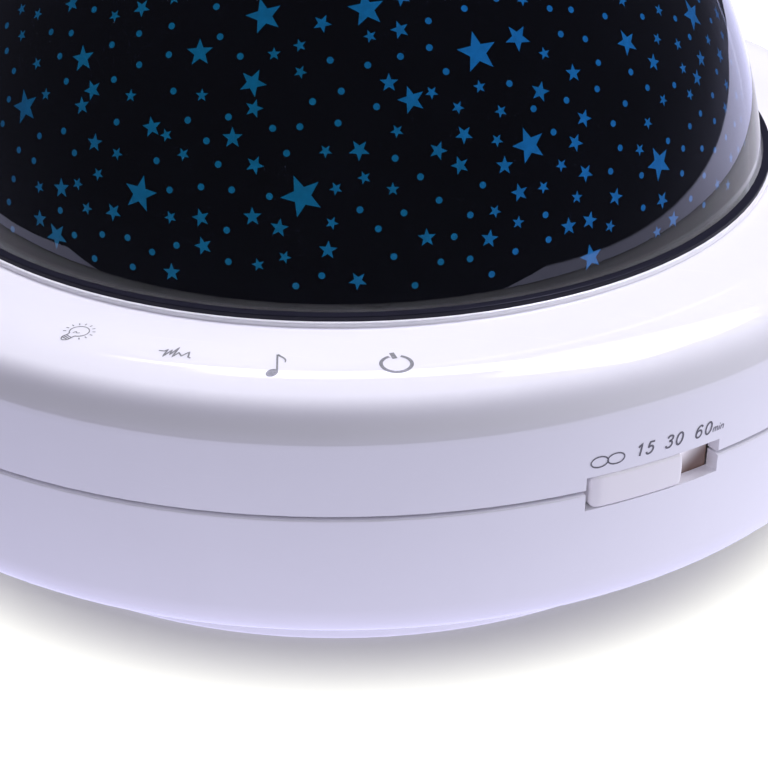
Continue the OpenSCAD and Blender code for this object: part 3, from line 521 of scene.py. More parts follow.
@dataclass(frozen=True)
class SlotPaintedShade(Finish):
    """The knob's flange behind the wall, with painted shade and a painted glow: pale beside the knob, painted
    dark brown towards the slot's far end and bottom, where the slot's walls shade it.
    """

    pale: Colour
    painted_shade: Colour
    azimuth: Pair
    height: Pair
    painted_glow: float = 0.42
    share: float = 0.75
    reach: Pair = (0.1, 1.1)

    def shade(self, tree: Tree, place: Socket) -> Socket:
        """Builds the shader. See Finish.shade for the arguments."""
        parts = tree.axes(place)
        front = tree.math("MULTIPLY", parts["Y"], -1.0)
        turn = tree.math("DEGREES", tree.math("ARCTAN2", parts["X"], front))
        across = tree.span(turn, *self.azimuth, 0.0, self.share)
        down = tree.span(parts["Z"], self.height[1], self.height[0], 0.0, self.share)
        # Painted shade: the colour goes darker towards the slot's far end and towards the bottom, and the
        # emission is a painted glow.
        depth = tree.span(tree.math("ADD", across, down), *self.reach, smooth=True)
        smudge = MouldedSkin.on(tree, place, Smudge=14.0).outputs["Smudge"]
        colour = tree.mix(depth, self.pale, self.painted_shade)
        return principled(tree, Base_Color=colour, Roughness=tree.between(smudge, 0.3, 0.4),
                          Emission_Color=colour, Emission_Strength=self.painted_glow)


@dataclass(frozen=True)
class DrawnMetal(Finish):
    """Plated or bare steel with fine lines."""

    colour: Colour
    roughness: float = 0.28
    line: float = 0.3

    def shade(self, tree: Tree, place: Socket) -> Socket:
        """Builds the shader. See Finish.shade for the arguments."""
        lines = BrushedLines.on(tree, place, Line=self.line)
        colour = tree.mix(lines.outputs["Blotch"], self.colour, shaded(self.colour, 0.86))
        rough = tree.span(lines.outputs["Lines"], 0.3, 0.7, self.roughness, self.roughness + 0.16)
        return principled(tree, Base_Color=colour, Metallic=1.0, Roughness=rough,
                          Normal=tree.bump(lines.outputs["Lines"], 0.003))


@dataclass(frozen=True)
class CircuitBoard(Finish):
    """A lacquered board with tracks under the lacquer and tinned pads."""

    lacquer: Colour
    track: Colour
    pad: Colour = (0.62, 0.6, 0.56)
    pitch: float = 1.1

    def shade(self, tree: Tree, place: Socket) -> Socket:
        """Builds the shader. See Finish.shade for the arguments."""
        copper = CopperTracks.on(tree, place, Pitch=self.pitch)
        skin = MouldedSkin.on(tree, place, Smudge=7.0)
        ground = tree.mix(skin.outputs["Smudge"], self.lacquer, shaded(self.lacquer, 0.82))
        tracked = tree.mix(copper.outputs["Tracks"], ground, self.track)
        colour = tree.mix(copper.outputs["Pads"], tracked, self.pad)
        height = tree.math("MAXIMUM", copper.outputs["Tracks"], copper.outputs["Pads"])
        return principled(
            tree, Base_Color=colour, Metallic=tree.math("MULTIPLY", copper.outputs["Pads"], 0.8),
            Roughness=tree.between(copper.outputs["Pads"], 0.34, 0.24), Normal=tree.bump(height, 0.03))


@dataclass(frozen=True)
class Cellular(Finish):
    """Foam or rubber."""

    colour: Colour
    cell: float
    depth: float
    roughness: float = 0.85
    light: float = 1.25

    def shade(self, tree: Tree, place: Socket) -> Socket:
        """Builds the shader. See Finish.shade for the arguments."""
        cells = OpenCells.on(tree, place, Cell=self.cell)
        shade = cells.outputs["Shade"]
        return principled(
            tree, Base_Color=tree.mix(shade, shaded(self.colour, 0.8), shaded(self.colour, self.light)),
            Roughness=tree.span(shade, 0.2, 0.8, self.roughness, self.roughness - 0.12),
            Specular_IOR_Level=0.3, Normal=tree.bump(cells.outputs["Height"], self.depth))


@dataclass(frozen=True)
class PulpPaper(Finish):
    """The pressed paper of a loudspeaker's cone."""

    colour: Colour

    def shade(self, tree: Tree, place: Socket) -> Socket:
        """Builds the shader. See Finish.shade for the arguments."""
        fibre = PressedFibre.on(tree, place)
        shade = fibre.outputs["Shade"]
        return principled(
            tree, Base_Color=tree.mix(shade, self.colour, shaded(self.colour, 1.8)),
            Roughness=tree.span(shade, 0.2, 0.8, 0.82, 0.94), Specular_IOR_Level=0.2,
            Normal=tree.bump(fibre.outputs["Height"], 0.05))


@dataclass(frozen=True)
class PrintedInk(Finish):
    """Pad-printed ink, a little uneven in cover."""

    colour: Colour
    pale: Colour

    def shade(self, tree: Tree, place: Socket) -> Socket:
        """Builds the shader. See Finish.shade for the arguments."""
        cover = tree.span(tree.noise(place, 2600.0, detail=3.0, roughness=0.6), 0.4, 0.75)
        return principled(tree, Base_Color=tree.mix(cover, self.colour, self.pale),
                          Roughness=tree.between(cover, 0.42, 0.55), Coat_Weight=0.4, Coat_Roughness=0.08)


@dataclass(frozen=True)
class ClearLens(Finish):
    """The clear epoxy lens of a lamp."""

    tint: Colour

    def shade(self, tree: Tree, place: Socket) -> Socket:
        """Builds the shader. See Finish.shade for the arguments."""
        skin = MouldedSkin.on(tree, place, Ripple=1.4)
        body = principled(tree, Base_Color=rgba(self.tint), IOR=1.52, Transmission_Weight=1.0,
                          Roughness=tree.between(skin.outputs["Smudge"], 0.02, 0.08),
                          Normal=tree.bump(skin.outputs["Ripple"], 0.002))
        return lamps_pass(tree, body, self.tint)


@dataclass(frozen=True)
class CellSleeve(Finish):
    """The printed sleeve of a battery cell: a dark body, a lighter band and bare steel ends."""

    body: Colour
    band: Colour
    middle: float
    reach: float
    band_share: float = 0.38
    steel: Colour = (0.6, 0.6, 0.62)

    def shade(self, tree: Tree, place: Socket) -> Socket:
        """Builds the shader. See Finish.shade for the arguments."""
        lines = BrushedLines.on(tree, place, Line=0.4)
        offset = tree.math("SUBTRACT", tree.axes(place)["Y"], self.middle * MM)
        along = tree.math("ABSOLUTE", offset)
        in_band = tree.math("LESS_THAN", along, self.reach * MM * self.band_share)
        bare = tree.math("GREATER_THAN", along, self.reach * MM)
        colour = tree.mix(bare, tree.mix(in_band, self.body, self.band), self.steel)
        return principled(tree, Base_Color=colour, Metallic=bare,
                          Roughness=tree.between(lines.outputs["Blotch"], 0.24, 0.36),
                          Normal=tree.bump(lines.outputs["Lines"], 0.002))


SHELL_WHITE = GlossPlastic("shell_gloss_white", "white_shell", (0.86, 0.85, 0.9), gloss_ior=1.8)
KNOB_WHITE = GlossPlastic("knob_warm_white", "knob", (0.93, 0.905, 0.935), roughness=0.4, gloss=0.5,
                          gloss_roughness=0.12)
# Painted shade and a painted glow, for the shutter behind the slot's open end.
SLOT_PAINTED_SHADE = SlotPaintedShade("flange_painted_shade", "knob", (0.95, 0.93, 0.99), (0.13, 0.085, 0.08),
                       azimuth=(41.5, 46.2), height=(0.0333, 0.0388))
DOME_DARK = DarkClear("dome_dark_clear", "dark_clear", (0.5, 0.52, 0.56))
FILM_BLACK = StarFilm("film_black", "star_film", (0.005, 0.0057, 0.0085))
# The star windows' colour is painted light with a painted glow.
WINDOW_PAINTED_GLOW = StarWindow("window_blue_painted_glow", "star_film", left=(0.001, 0.062, 0.175), middle=(0.0, 0.12, 0.24),
                         right=(0.006, 0.15, 0.43))
RING_BLACK = GlossPlastic("ring_gloss_black", "black_gloss", (0.015, 0.015, 0.024), gloss=0.3, tone=0.9)
PRINT_GREY = PrintedInk("print_grey", "chip_black", (0.16, 0.16, 0.17), (0.3, 0.3, 0.32))
PRINT_DARK = PrintedInk("print_dark_grey", "chip_black", (0.085, 0.08, 0.09), (0.16, 0.155, 0.17))
PRINT_PALE = PrintedInk("print_pale_grey", "chip_black", (0.17, 0.165, 0.19), (0.27, 0.26, 0.29))
SCREW_STEEL = DrawnMetal("screw_steel", "steel", (0.62, 0.62, 0.64))
SOCKET_STEEL = DrawnMetal("socket_bright_steel", "bright_steel", (0.78, 0.78, 0.79), roughness=0.16, line=0.5)
CONTACT_STEEL = DrawnMetal("contact_plated_steel", "bright_steel", (0.72, 0.7, 0.66), roughness=0.22)
INNER_WHITE = SatinPlastic("inner_satin_white", "inner_white", (0.85, 0.85, 0.85))
LAMP_BOARD = CircuitBoard("lamp_board_white", "lamp_board_white", (0.86, 0.86, 0.83), (0.8, 0.8, 0.77),
                          pitch=1.6)
BOARD_GREEN = CircuitBoard("board_lacquer_green", "circuit_green", (0.035, 0.19, 0.07), (0.06, 0.3, 0.1))
BOARD_BROWN = CircuitBoard("board_paper_brown", "circuit_brown", (0.2, 0.09, 0.035), (0.27, 0.13, 0.05))
LENS_CLEAR = ClearLens("lens_clear", "lamp_lens", (0.82, 0.92, 1.0))
CHIP_BLACK = SatinPlastic("chip_moulded_black", "chip_black", (0.022, 0.022, 0.024), roughness=0.55,
                          grain=0.12)
CAPACITOR_BLUE = SatinPlastic("capacitor_sleeve_blue", "capacitor_blue", (0.035, 0.05, 0.2), roughness=0.3)
CONNECTOR_CREAM = SatinPlastic("connector_cream", "connector_cream", (0.82, 0.78, 0.68))
FOAM_GREY = Cellular("foam_grey", "foam_grey", (0.11, 0.11, 0.12), cell=0.45, depth=0.12)
CELL_SLEEVE = CellSleeve("cell_printed_sleeve", "cell_grey", (0.05, 0.05, 0.056), (0.2, 0.21, 0.23),
                         middle=34.0, reach=23.6)
SPEAKER_GREY = DrawnMetal("speaker_pressed_steel", "speaker_grey", (0.32, 0.32, 0.34), roughness=0.38,
                          line=0.6)
CONE_PAPER = PulpPaper("cone_pulp_paper", "speaker_paper", (0.02, 0.02, 0.021))
MAGNET_GREY = SatinPlastic("magnet_ferrite", "magnet", (0.07, 0.07, 0.074), roughness=0.6, grain=0.5,
                           grain_depth=0.012)
FOOT_RUBBER = Cellular("foot_rubber", "foot_rubber", (0.07, 0.07, 0.072), cell=0.16, depth=0.02,
                       roughness=0.78)
LEAD_RED = SatinPlastic("lead_red_sleeve", "lead_red", (0.48, 0.028, 0.02), roughness=0.36)
LEVER_BLACK = SatinPlastic("lever_black", "chip_black", (0.03, 0.03, 0.032), roughness=0.4)


# Meshes -----------------------------------------------------------------------------------------


@dataclass
class Sheet:
    """Points in millimetres, and faces that name them by number."""

    points: list[Point] = field(default_factory=list)
    faces: list[Face] = field(default_factory=list)

    def join(self, other: "Sheet") -> "Sheet":
        """Adds another sheet's points and faces to this one, and gives this one back."""
        start = len(self.points)
        self.points.extend(other.points)
        self.faces.extend(tuple(index + start for index in face) for face in other.faces)
        return self

    def outwards(self) -> "Sheet":
        """Turns every face round if the volume from the origin is negative, and gives the sheet back."""
        points = np.array(self.points)
        volume = 0.0
        for face in self.faces:
            for second, third in zip(face[1:-1], face[2:]):
                volume += float(np.dot(points[face[0]], np.cross(points[second], points[third])))
        if volume < 0:
            self.faces = [tuple(reversed(face)) for face in self.faces]
        return self


def add_piece(name: str, sheet: Sheet, finish: Finish, body: Body, stands_for: Sequence[str] = (),
              sharp: float = 35.0) -> bpy.types.Object:
    """Makes a piece of a sheet, and hangs it on the body that it rides on.

    Args:
        name: The piece's name.
        sheet: Its points and faces.
        finish: Its finish.
        body: The body that it rides on.
        stands_for: CAD nodes that it replaces.
        sharp: Edges that turn by more degrees than this stay crisp.

    Returns:
        The piece.
    """
    mesh = bpy.data.meshes.new(name)
    mesh.from_pydata([tuple(value * MM for value in point) for point in sheet.points], [], sheet.faces)
    mesh.validate()
    mesh.shade_smooth()
    mesh.set_sharp_from_angle(angle=math.radians(sharp))
    mesh.materials.append(finish.material())
    return enlist(name, mesh, body, stands_for)


def enlist(name: str, mesh: bpy.types.Mesh, body: Body,
           stands_for: Sequence[str] = ()) -> bpy.types.Object:
    """Makes a piece of a finished mesh, and hangs it on the body that it rides on.

    Args:
        name: The piece's name.
        mesh: Its mesh, in metres and in place.
        body: The body that it rides on.
        stands_for: CAD nodes that it replaces.

    Returns:
        The piece.
    """
    piece = bpy.data.objects.new(name, mesh)
    bpy.context.scene.collection.objects.link(piece)
    if stands_for:
        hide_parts(*stands_for)
    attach(piece, body.value)
    LOG.info("piece %s: %d faces on %s", name, len(mesh.polygons), body.value)
    return piece


def dress(finish: Finish, *nodes: str) -> None:
    """Gives CAD nodes a finish.

    Args:
        finish: The finish.
        nodes: Names of the nodes.
    """
    for node in nodes:
        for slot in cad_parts[node].material_slots:
            slot.material = finish.material()
        LOG.info("node %s: %s", node, finish.name)


def turned_sheet(profile: Sequence[Pair], segments: int, closed: bool = True) -> Sheet:
    """Turns a half section round the Z axis.

    Args:
        profile: Its points, as radius and height.
        segments: Number of steps round the axis.
        closed: Whether the last point joins the first, so that the form is solid.

    Returns:
        The turned form, facing outwards.
    """
    points: list[Point] = []
    rings: list[list[int]] = []
    for radius, height in profile:
        if radius < 1e-6:
            rings.append([len(points)] * segments)
            points.append((0.0, 0.0, height))
            continue
        rings.append(list(range(len(points), len(points) + segments)))
        for step in range(segments):
            angle = 2 * math.pi * step / segments
            points.append((radius * math.cos(angle), radius * math.sin(angle), height))
    pairs = list(zip(rings, rings[1:] + rings[:1])) if closed else list(zip(rings, rings[1:]))
    faces: list[Face] = []
    for low, high in pairs:
        for step in range(segments):
            after = (step + 1) % segments
            face = tuple(dict.fromkeys((low[step], low[after], high[after], high[step])))
            if len(face) > 2:
                faces.append(face)
    return Sheet(points, faces).outwards()


@dataclass(frozen=True)
class Arc:
    """A round of a turned section: its centre as radius and height, and its own radius."""

    centre: Pair
    radius: float

    def at(self, degrees: float, inset: float = 0.0) -> Pair:
        """The point of the round at an angle from straight outwards, moved inwards by an inset."""
        angle = math.radians(degrees)
        reach = self.radius - inset
        return self.centre[0] + reach * math.cos(angle), self.centre[1] + reach * math.sin(angle)

    def inside(self, wall: float) -> "Arc":
        """The same round at the inner side of a wall."""
        return Arc(self.centre, self.radius - wall)


def polished(node: str, name: str, arcs: Sequence[Arc], finish: Finish, body: Body,
             near: float = 0.01) -> bpy.types.Object:
    """Stands for a CAD node with the same faces, whose shading follows the true rounds.

    Args:
        node: The CAD node.
        name: The piece's name.
        arcs: The rounds of its turned section.
        finish: Its finish.
        body: The body that it rides on.
        near: How far from a round a corner may lie to be on it.

    Returns:
        The piece.
    """
    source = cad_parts[node].data
    places = np.empty(len(source.vertices) * 3, np.float32)
    source.vertices.foreach_get("co", places)
    corners = np.empty(len(source.loops), np.int32)
    source.loops.foreach_get("vertex_index", corners)
    normals = np.empty(len(source.loops) * 3, np.float32)
    source.corner_normals.foreach_get("vector", normals)
    normals = normals.reshape(-1, 3, 3).astype(float)
    points, merged = np.unique(np.round(places.reshape(-1, 3).astype(float), 7), axis=0, return_inverse=True)
    faces = merged.ravel()[corners].reshape(-1, 3)
    whole = (faces[:, 0] != faces[:, 1]) & (faces[:, 1] != faces[:, 2]) & (faces[:, 2] != faces[:, 0])
    faces, normals = faces[whole], normals[whole]

    radius = np.hypot(points[:, 0], points[:, 1])
    outward = points[:, :2] / np.maximum(radius, 1e-9)[:, None]
    flat = np.cross(points[faces[:, 1]] - points[faces[:, 0]], points[faces[:, 2]] - points[faces[:, 0]])
    for arc in arcs:
        aside = radius - arc.centre[0] * MM
        above = points[:, 2] - arc.centre[1] * MM
        reach = np.hypot(aside, above)
        on_arc = np.abs(reach - arc.radius * MM) < near * MM
        turned = on_arc[faces].all(axis=1)
        true = np.column_stack([outward * aside[:, None], above]) / np.maximum(reach, 1e-9)[:, None]
        chosen = true[faces[turned]]
        side = np.sign(np.einsum("ij,ij->i", chosen.mean(axis=1), flat[turned]))
        normals[turned] = chosen * np.where(side == 0, 1.0, side)[:, None, None]
    mesh = bpy.data.meshes.new(name)
    mesh.from_pydata(points.tolist(), [], faces.tolist())
    mesh.shade_smooth()
    mesh.normals_split_custom_set(normals.reshape(-1, 3).tolist())
    mesh.materials.append(finish.material())
    return enlist(name, mesh, body, (node,))


# Housings ---------------------------------------------------------------------------------------


@dataclass(frozen=True)
class Housings:
    """The two white mouldings of the base."""

    base_r: float = 98.4
    wall: float = 2.2
    skin_z: float = 53.9
    seam_z: float = 36.0
    seam_gap: float = 0.4
    lip_r: float = 0.3
    crown_r: float = 45.0
    crown_w: float = 7.5
    shoulder_r: float = 6.0
    collar_out: float = 75.6
    collar_h: float = 0.7
    under_z: float = 13.5
    under_r: float = 7.5
    pedestal_out: float = 79.0
    pedestal_edge: float = 1.0
    foot_proud: float = 0.5

    @property
    def crown(self) -> Arc:
        """The gently crowned band outside the flat top."""
        return Arc((self.base_r - self.shoulder_r - self.crown_w, self.skin_z - self.crown_r), self.crown_r)

    @property
    def shoulder(self) -> Arc:
        """The shoulder, which touches both the crowned band and the side wall."""
        rise = math.sqrt((self.crown_r - self.shoulder_r) ** 2 - self.crown_w ** 2)
        return Arc((self.base_r - self.shoulder_r, self.crown.centre[1] + rise), self.shoulder_r)

    def build(self) -> None:
        """Builds both housings."""
        lip = self.lip_r
        collar = Arc((self.collar_out - lip, self.skin_z + self.collar_h - lip), lip)
        seam_upper = Arc((self.base_r - lip, self.seam_z + self.seam_gap + lip), lip)
        seam_lower = Arc((self.base_r - lip, self.seam_z - lip), lip)
        under = Arc((self.base_r - self.under_r, self.under_z + self.under_r), self.under_r)
        edge = self.pedestal_edge
        pedestal = Arc((self.pedestal_out - edge, self.foot_proud + edge), edge)
        upper = [self.crown, self.shoulder, collar, seam_upper, self.crown.inside(self.wall),
                 self.shoulder.inside(self.wall)]
        lower = [seam_lower, under, under.inside(self.wall), pedestal]
        polished("upper_housing", "upper_shell", upper, SHELL_WHITE, Body.BASE)
        polished("lower_housing", "lower_shell", lower, SHELL_WHITE, Body.BASE)

    def top_z(self, radius: float) -> float:
        """Height of the top at a radius, on the flat and on the crowned band outside it."""
        middle, low = self.crown.centre
        if radius <= middle:
            return self.skin_z
        return low + math.sqrt(self.crown_r ** 2 - (radius - middle) ** 2)

    def on_top(self, azimuth: float, radius: float, lift: float) -> Point:
        """A point at a lift above the top, by its azimuth in degrees and its radius."""
        angle = math.radians(azimuth)
        return radius * math.sin(angle), -radius * math.cos(angle), self.top_z(radius) + lift

    def on_wall(self, azimuth: float, height: float, lift: float) -> Point:
        """A point just off the side wall.

        Args:
            azimuth: Its azimuth in degrees.
            height: Its height.
            lift: Its distance from the surface.

        Returns:
            The point.
        """
        angle = math.radians(azimuth)
        reach = self.base_r + lift
        return reach * math.sin(angle), -reach * math.cos(angle), height


# Dome -------------------------------------------------------------------------------------------


class StarSize(Enum):
    """Tip radii of the placed stars, in millimetres."""

    LARGEST = 3.1
    LARGE = 2.7
    FULL = 2.05
    MIDDLE = 1.55


@dataclass(frozen=True)
class PlacedStar:
    """A star window at a place of its own: azimuth, height, size, and the turn of its first tip."""

    azimuth: float
    height: float
    size: StarSize
    turn: float = 0.0


PLACED_STARS = (
    PlacedStar(0.6, 92.7, StarSize.LARGE, 20), PlacedStar(15.6, 93.7, StarSize.LARGE, 8),
    PlacedStar(31, 87.7, StarSize.LARGEST, 4), PlacedStar(36, 75.2, StarSize.LARGE, 12),
    PlacedStar(7, 70.7, StarSize.LARGEST, 24), PlacedStar(-13.4, 68.7, StarSize.LARGE, -6),
    PlacedStar(55.9, 67.7, StarSize.LARGE, 16), PlacedStar(73.9, 83.7, StarSize.LARGE, 0),
    PlacedStar(-34, 75.7, StarSize.LARGE, 30), PlacedStar(-25, 66.7, StarSize.MIDDLE, 12),
    PlacedStar(-25, 59.7, StarSize.FULL, 40), PlacedStar(-8, 87.7, StarSize.FULL, 10),
    PlacedStar(0, 84.7, StarSize.FULL, 50), PlacedStar(37.5, 88.7, StarSize.FULL, 28),
    PlacedStar(21, 82.7, StarSize.FULL, 14), PlacedStar(43, 57.7, StarSize.FULL, 6),
    PlacedStar(-26, 84.2, StarSize.FULL, 22), PlacedStar(14, 76.7, StarSize.MIDDLE, 33),
    PlacedStar(-13, 77.7, StarSize.MIDDLE, 18), PlacedStar(39, 81.7, StarSize.MIDDLE, 47),
    PlacedStar(55.9, 84.7, StarSize.FULL, 9), PlacedStar(-23, 80.7, StarSize.MIDDLE, 36),
    PlacedStar(-2, 77.7, StarSize.MIDDLE, 5),
)


@dataclass(frozen=True)
class StarField:
    """Sizes of the film's small windows, which are strewn over the dome between the placed stars."""

    spacing: float = 3.7
    seed: int = 7
    dot_r: float = 0.5
    small_r: float = 0.98
    middle_r: float = 1.38
    dot_share: float = 0.54
    middle_share: float = 0.35
    inner_ratio: float = 0.42
    lift: float = 0.03
    clear: float = 0.9
    lowest: float = 57.9
    most_dense: float = 400000.0
    turn_seed: int = 3

    def tree(self) -> bpy.types.NodeTree:
        """Builds the geometry tree, with its sizes as named inputs.

        Returns:
            The tree. It takes the film's outer surface and gives the windows on it.
        """
        group = bpy.data.node_groups.new("star_field", "GeometryNodeTree")
        group.is_modifier = True
        add_input(group, "Surface", "Geometry")
        lengths = {"Spacing": self.spacing, "Dot radius": self.dot_r, "Small star": self.small_r,
                   "Middle star": self.middle_r, "Lift": self.lift, "Clear space": self.clear,
                   "Lowest mark": self.lowest}
        shares = {"Dot share": self.dot_share, "Middle share": self.middle_share,
                  "Inner ratio": self.inner_ratio}
        for name, length in lengths.items():
            add_input(group, name, "Float", length * MM)
        for name, share in shares.items():
            add_input(group, name, "Float", share)
        add_input(group, "Seed", "Int", self.seed)
        add_input(group, "Placed stars", "Object")
        add_input(group, "Finish", "Material")
        add_output(group, "Windows", "Geometry")
        tree = Tree(group)
        given = tree.add("NodeGroupInput").outputs

        star, dot = self.cutters(tree, given)
        placed = tree.add("GeometryNodeObjectInfo", {"Object": given["Placed stars"]}).outputs["Geometry"]
        strewn = self.strewn_points(tree, given, placed)
        joined = self.joined(tree, self.strewn_windows(tree, given, strewn, star, dot),
                             self.placed_windows(tree, placed, star))
        flat = tree.add("GeometryNodeRealizeInstances", {0: joined}).outputs[0]
        laid = self.laid_on(tree, given, flat)
        final = tree.add("GeometryNodeSetMaterial", {"Geometry": laid, "Material": given["Finish"]})
        tree.add("NodeGroupOutput", {0: final.outputs[0]})
        return group

    def cutters(self, tree: Tree, given: Any) -> tuple[Socket, Socket]:
        """Draws the shapes of the windows.

        Args:
            tree: The geometry tree.
            given: Outputs of its input node.

        Returns:
            A five-point star whose tips are at a radius of 1, and a dot at its own size.
        """
        circle = "GeometryNodeMeshCircle"
        even = tree.add(circle, {"Vertices": 10, "Radius": 1.0}, fill_type="TRIANGLE_FAN").outputs[0]
        odd = tree.math("MODULO", tree.add("GeometryNodeInputIndex").outputs[0], 2.0)
        here = tree.add("GeometryNodeInputPosition").outputs[0]
        drawn = tree.vector("SCALE", here, scale=given["Inner ratio"])
        star = tree.add("GeometryNodeSetPosition", {"Geometry": even, "Selection": odd, "Position": drawn})
        dot = tree.add(circle, {"Vertices": 12, "Radius": given["Dot radius"]}, fill_type="TRIANGLE_FAN")
        return star.outputs[0], dot.outputs[0]

    @staticmethod
    def joined(tree: Tree, *parts: Socket) -> Socket:
        """Joins geometry, in the order given."""
        join = tree.add("GeometryNodeJoinGeometry")
        for part in parts:
            tree.tree.links.new(part, join.inputs[0])
        return join.outputs[0]

    def strewn_points(self, tree: Tree, given: Any, placed: Socket) -> Socket:
        """Strews points over the surface and leaves out those too near a placed star.

        Args:
            tree: The geometry tree.
            given: Outputs of its input node.
            placed: The points of the placed stars.

        Returns:
            The points, with their rotations as an attribute named lie.
        """
        spread = tree.add("GeometryNodeDistributePointsOnFaces", {
            "Mesh": given["Surface"], "Distance Min": given["Spacing"], "Density Max": self.most_dense,
            "Seed": given["Seed"]}, distribute_method="POISSON").outputs
        stored = tree.add("GeometryNodeStoreNamedAttribute", {
            "Geometry": spread["Points"], "Name": "lie", "Value": spread["Rotation"]},
            data_type="QUATERNION", domain="POINT").outputs[0]
        here = tree.add("GeometryNodeInputPosition").outputs[0]
        nearest = tree.add("GeometryNodeSampleNearest", {"Geometry": placed, "Sample Position": here},
                           domain="POINT").outputs[0]
        tip = tree.add("GeometryNodeSampleIndex", {
            "Geometry": placed, "Value": tree.named("tip"), "Index": nearest},
            data_type="FLOAT", domain="POINT").outputs[0]
        away = tree.add("GeometryNodeProximity", {"Geometry": placed, "Sample Position": here},
                        target_element="POINTS").outputs["Distance"]
        near = tree.math("LESS_THAN", away, tree.math("ADD", tip, given["Clear space"]))
        too_low = tree.math("LESS_THAN", tree.axes(here)["Z"], given["Lowest mark"])
        left_out = tree.math("MAXIMUM", near, too_low)
        return tree.add("GeometryNodeDeleteGeometry", {"Geometry": stored, "Selection": left_out},
                        domain="POINT").outputs[0]

    def strewn_windows(self, tree: Tree, given: Any, points: Socket, star: Socket, dot: Socket) -> Socket:
        """Puts a dot, a small star or a middle star on each strewn point.

        Args:
            tree: The geometry tree.
            given: Outputs of its input node.
            points: The points.
            star: A star whose tips are at a radius of 1.
            dot: A dot at its own size.

        Returns:
            The windows, as instances.
        """
        draw = "FunctionNodeRandomValue"
        lot = tree.add(draw, {2: 0.0, 3: 1.0, "Seed": given["Seed"]}, data_type="FLOAT").outputs[1]
        turn = tree.add(draw, {2: 0.0, 3: 2 * math.pi, "Seed": self.turn_seed}, data_type="FLOAT").outputs[1]
        turned = self.turned(tree, tree.named("lie", "QUATERNION"), turn)
        is_dot = tree.math("LESS_THAN", lot, given["Dot share"])
        stars_share = tree.math("SUBTRACT", 1.0, given["Dot share"])
        middle_share = tree.math("MULTIPLY", given["Middle share"], stars_share)
        is_middle = tree.math("GREATER_THAN", lot, tree.math("SUBTRACT", 1.0, middle_share))
        size = tree.add("GeometryNodeSwitch", {
            "Switch": is_middle, "False": given["Small star"], "True": given["Middle star"]},
            input_type="FLOAT").outputs[0]
        put = "GeometryNodeInstanceOnPoints"
        dots = tree.add(put, {"Points": points, "Selection": is_dot, "Instance": dot, "Rotation": turned})
        stars = tree.add(put, {"Points": points, "Selection": tree.math("SUBTRACT", 1.0, is_dot),
                               "Instance": star, "Rotation": turned, "Scale": size})
        return self.joined(tree, dots.outputs[0], stars.outputs[0])

    def placed_windows(self, tree: Tree, placed: Socket, star: Socket) -> Socket:
        """Puts a star of its own size and turn on each placed point.

        Args:
            tree: The geometry tree.
            placed: The points.
            star: A star whose tips are at a radius of 1.

        Returns:
            The windows, as instances.
        """
        lie = tree.add("FunctionNodeAxesToRotation", {
            "Primary Axis": tree.named("outward", "FLOAT_VECTOR"),
            "Secondary Axis": tree.named("upright", "FLOAT_VECTOR")},
            primary_axis="Z", secondary_axis="X").outputs[0]
        points = tree.add("GeometryNodeMeshToPoints", {"Mesh": placed}).outputs[0]
        return tree.add("GeometryNodeInstanceOnPoints", {
            "Points": points, "Instance": star, "Rotation": self.turned(tree, lie, tree.named("turn")),
            "Scale": tree.named("tip")}).outputs[0]

    @staticmethod
    def turned(tree: Tree, lie: Socket, turn: Socket) -> Socket:
        """Turns a rotation round its own Z axis.

        Args:
            tree: The geometry tree.
            lie: The rotation.
            turn: The angle.

        Returns:
            The new rotation.
        """
        about = tree.add("FunctionNodeAxisAngleToRotation", {"Axis": (0.0, 0.0, 1.0), "Angle": turn})
        return tree.add("FunctionNodeRotateRotation", {"Rotation": lie, "Rotate By": about.outputs[0]},
                        rotation_space="LOCAL").outputs[0]

    @staticmethod
    def laid_on(tree: Tree, given: Any, flat: Socket) -> Socket:
        """Lays flat windows on the film's surface.

        Args:
            tree: The geometry tree.
            given: Outputs of its input node.
            flat: The windows.

        Returns:
            The windows, just above the surface everywhere.
        """
        here = tree.add("GeometryNodeInputPosition").outputs[0]
        out = tree.add("GeometryNodeInputNormal").outputs[0]
        found = []
        for value in (here, out):
            found.append(tree.add("GeometryNodeSampleNearestSurface",
                                  {"Mesh": given["Surface"], "Value": value, "Sample Position": here},
                                  data_type="FLOAT_VECTOR").outputs["Value"])
        unit = tree.vector("NORMALIZE", found[1])
        raised = tree.vector("ADD", found[0], tree.vector("SCALE", unit, scale=given["Lift"]))
        return tree.add("GeometryNodeSetPosition", {"Geometry": flat, "Position": raised}).outputs[0]


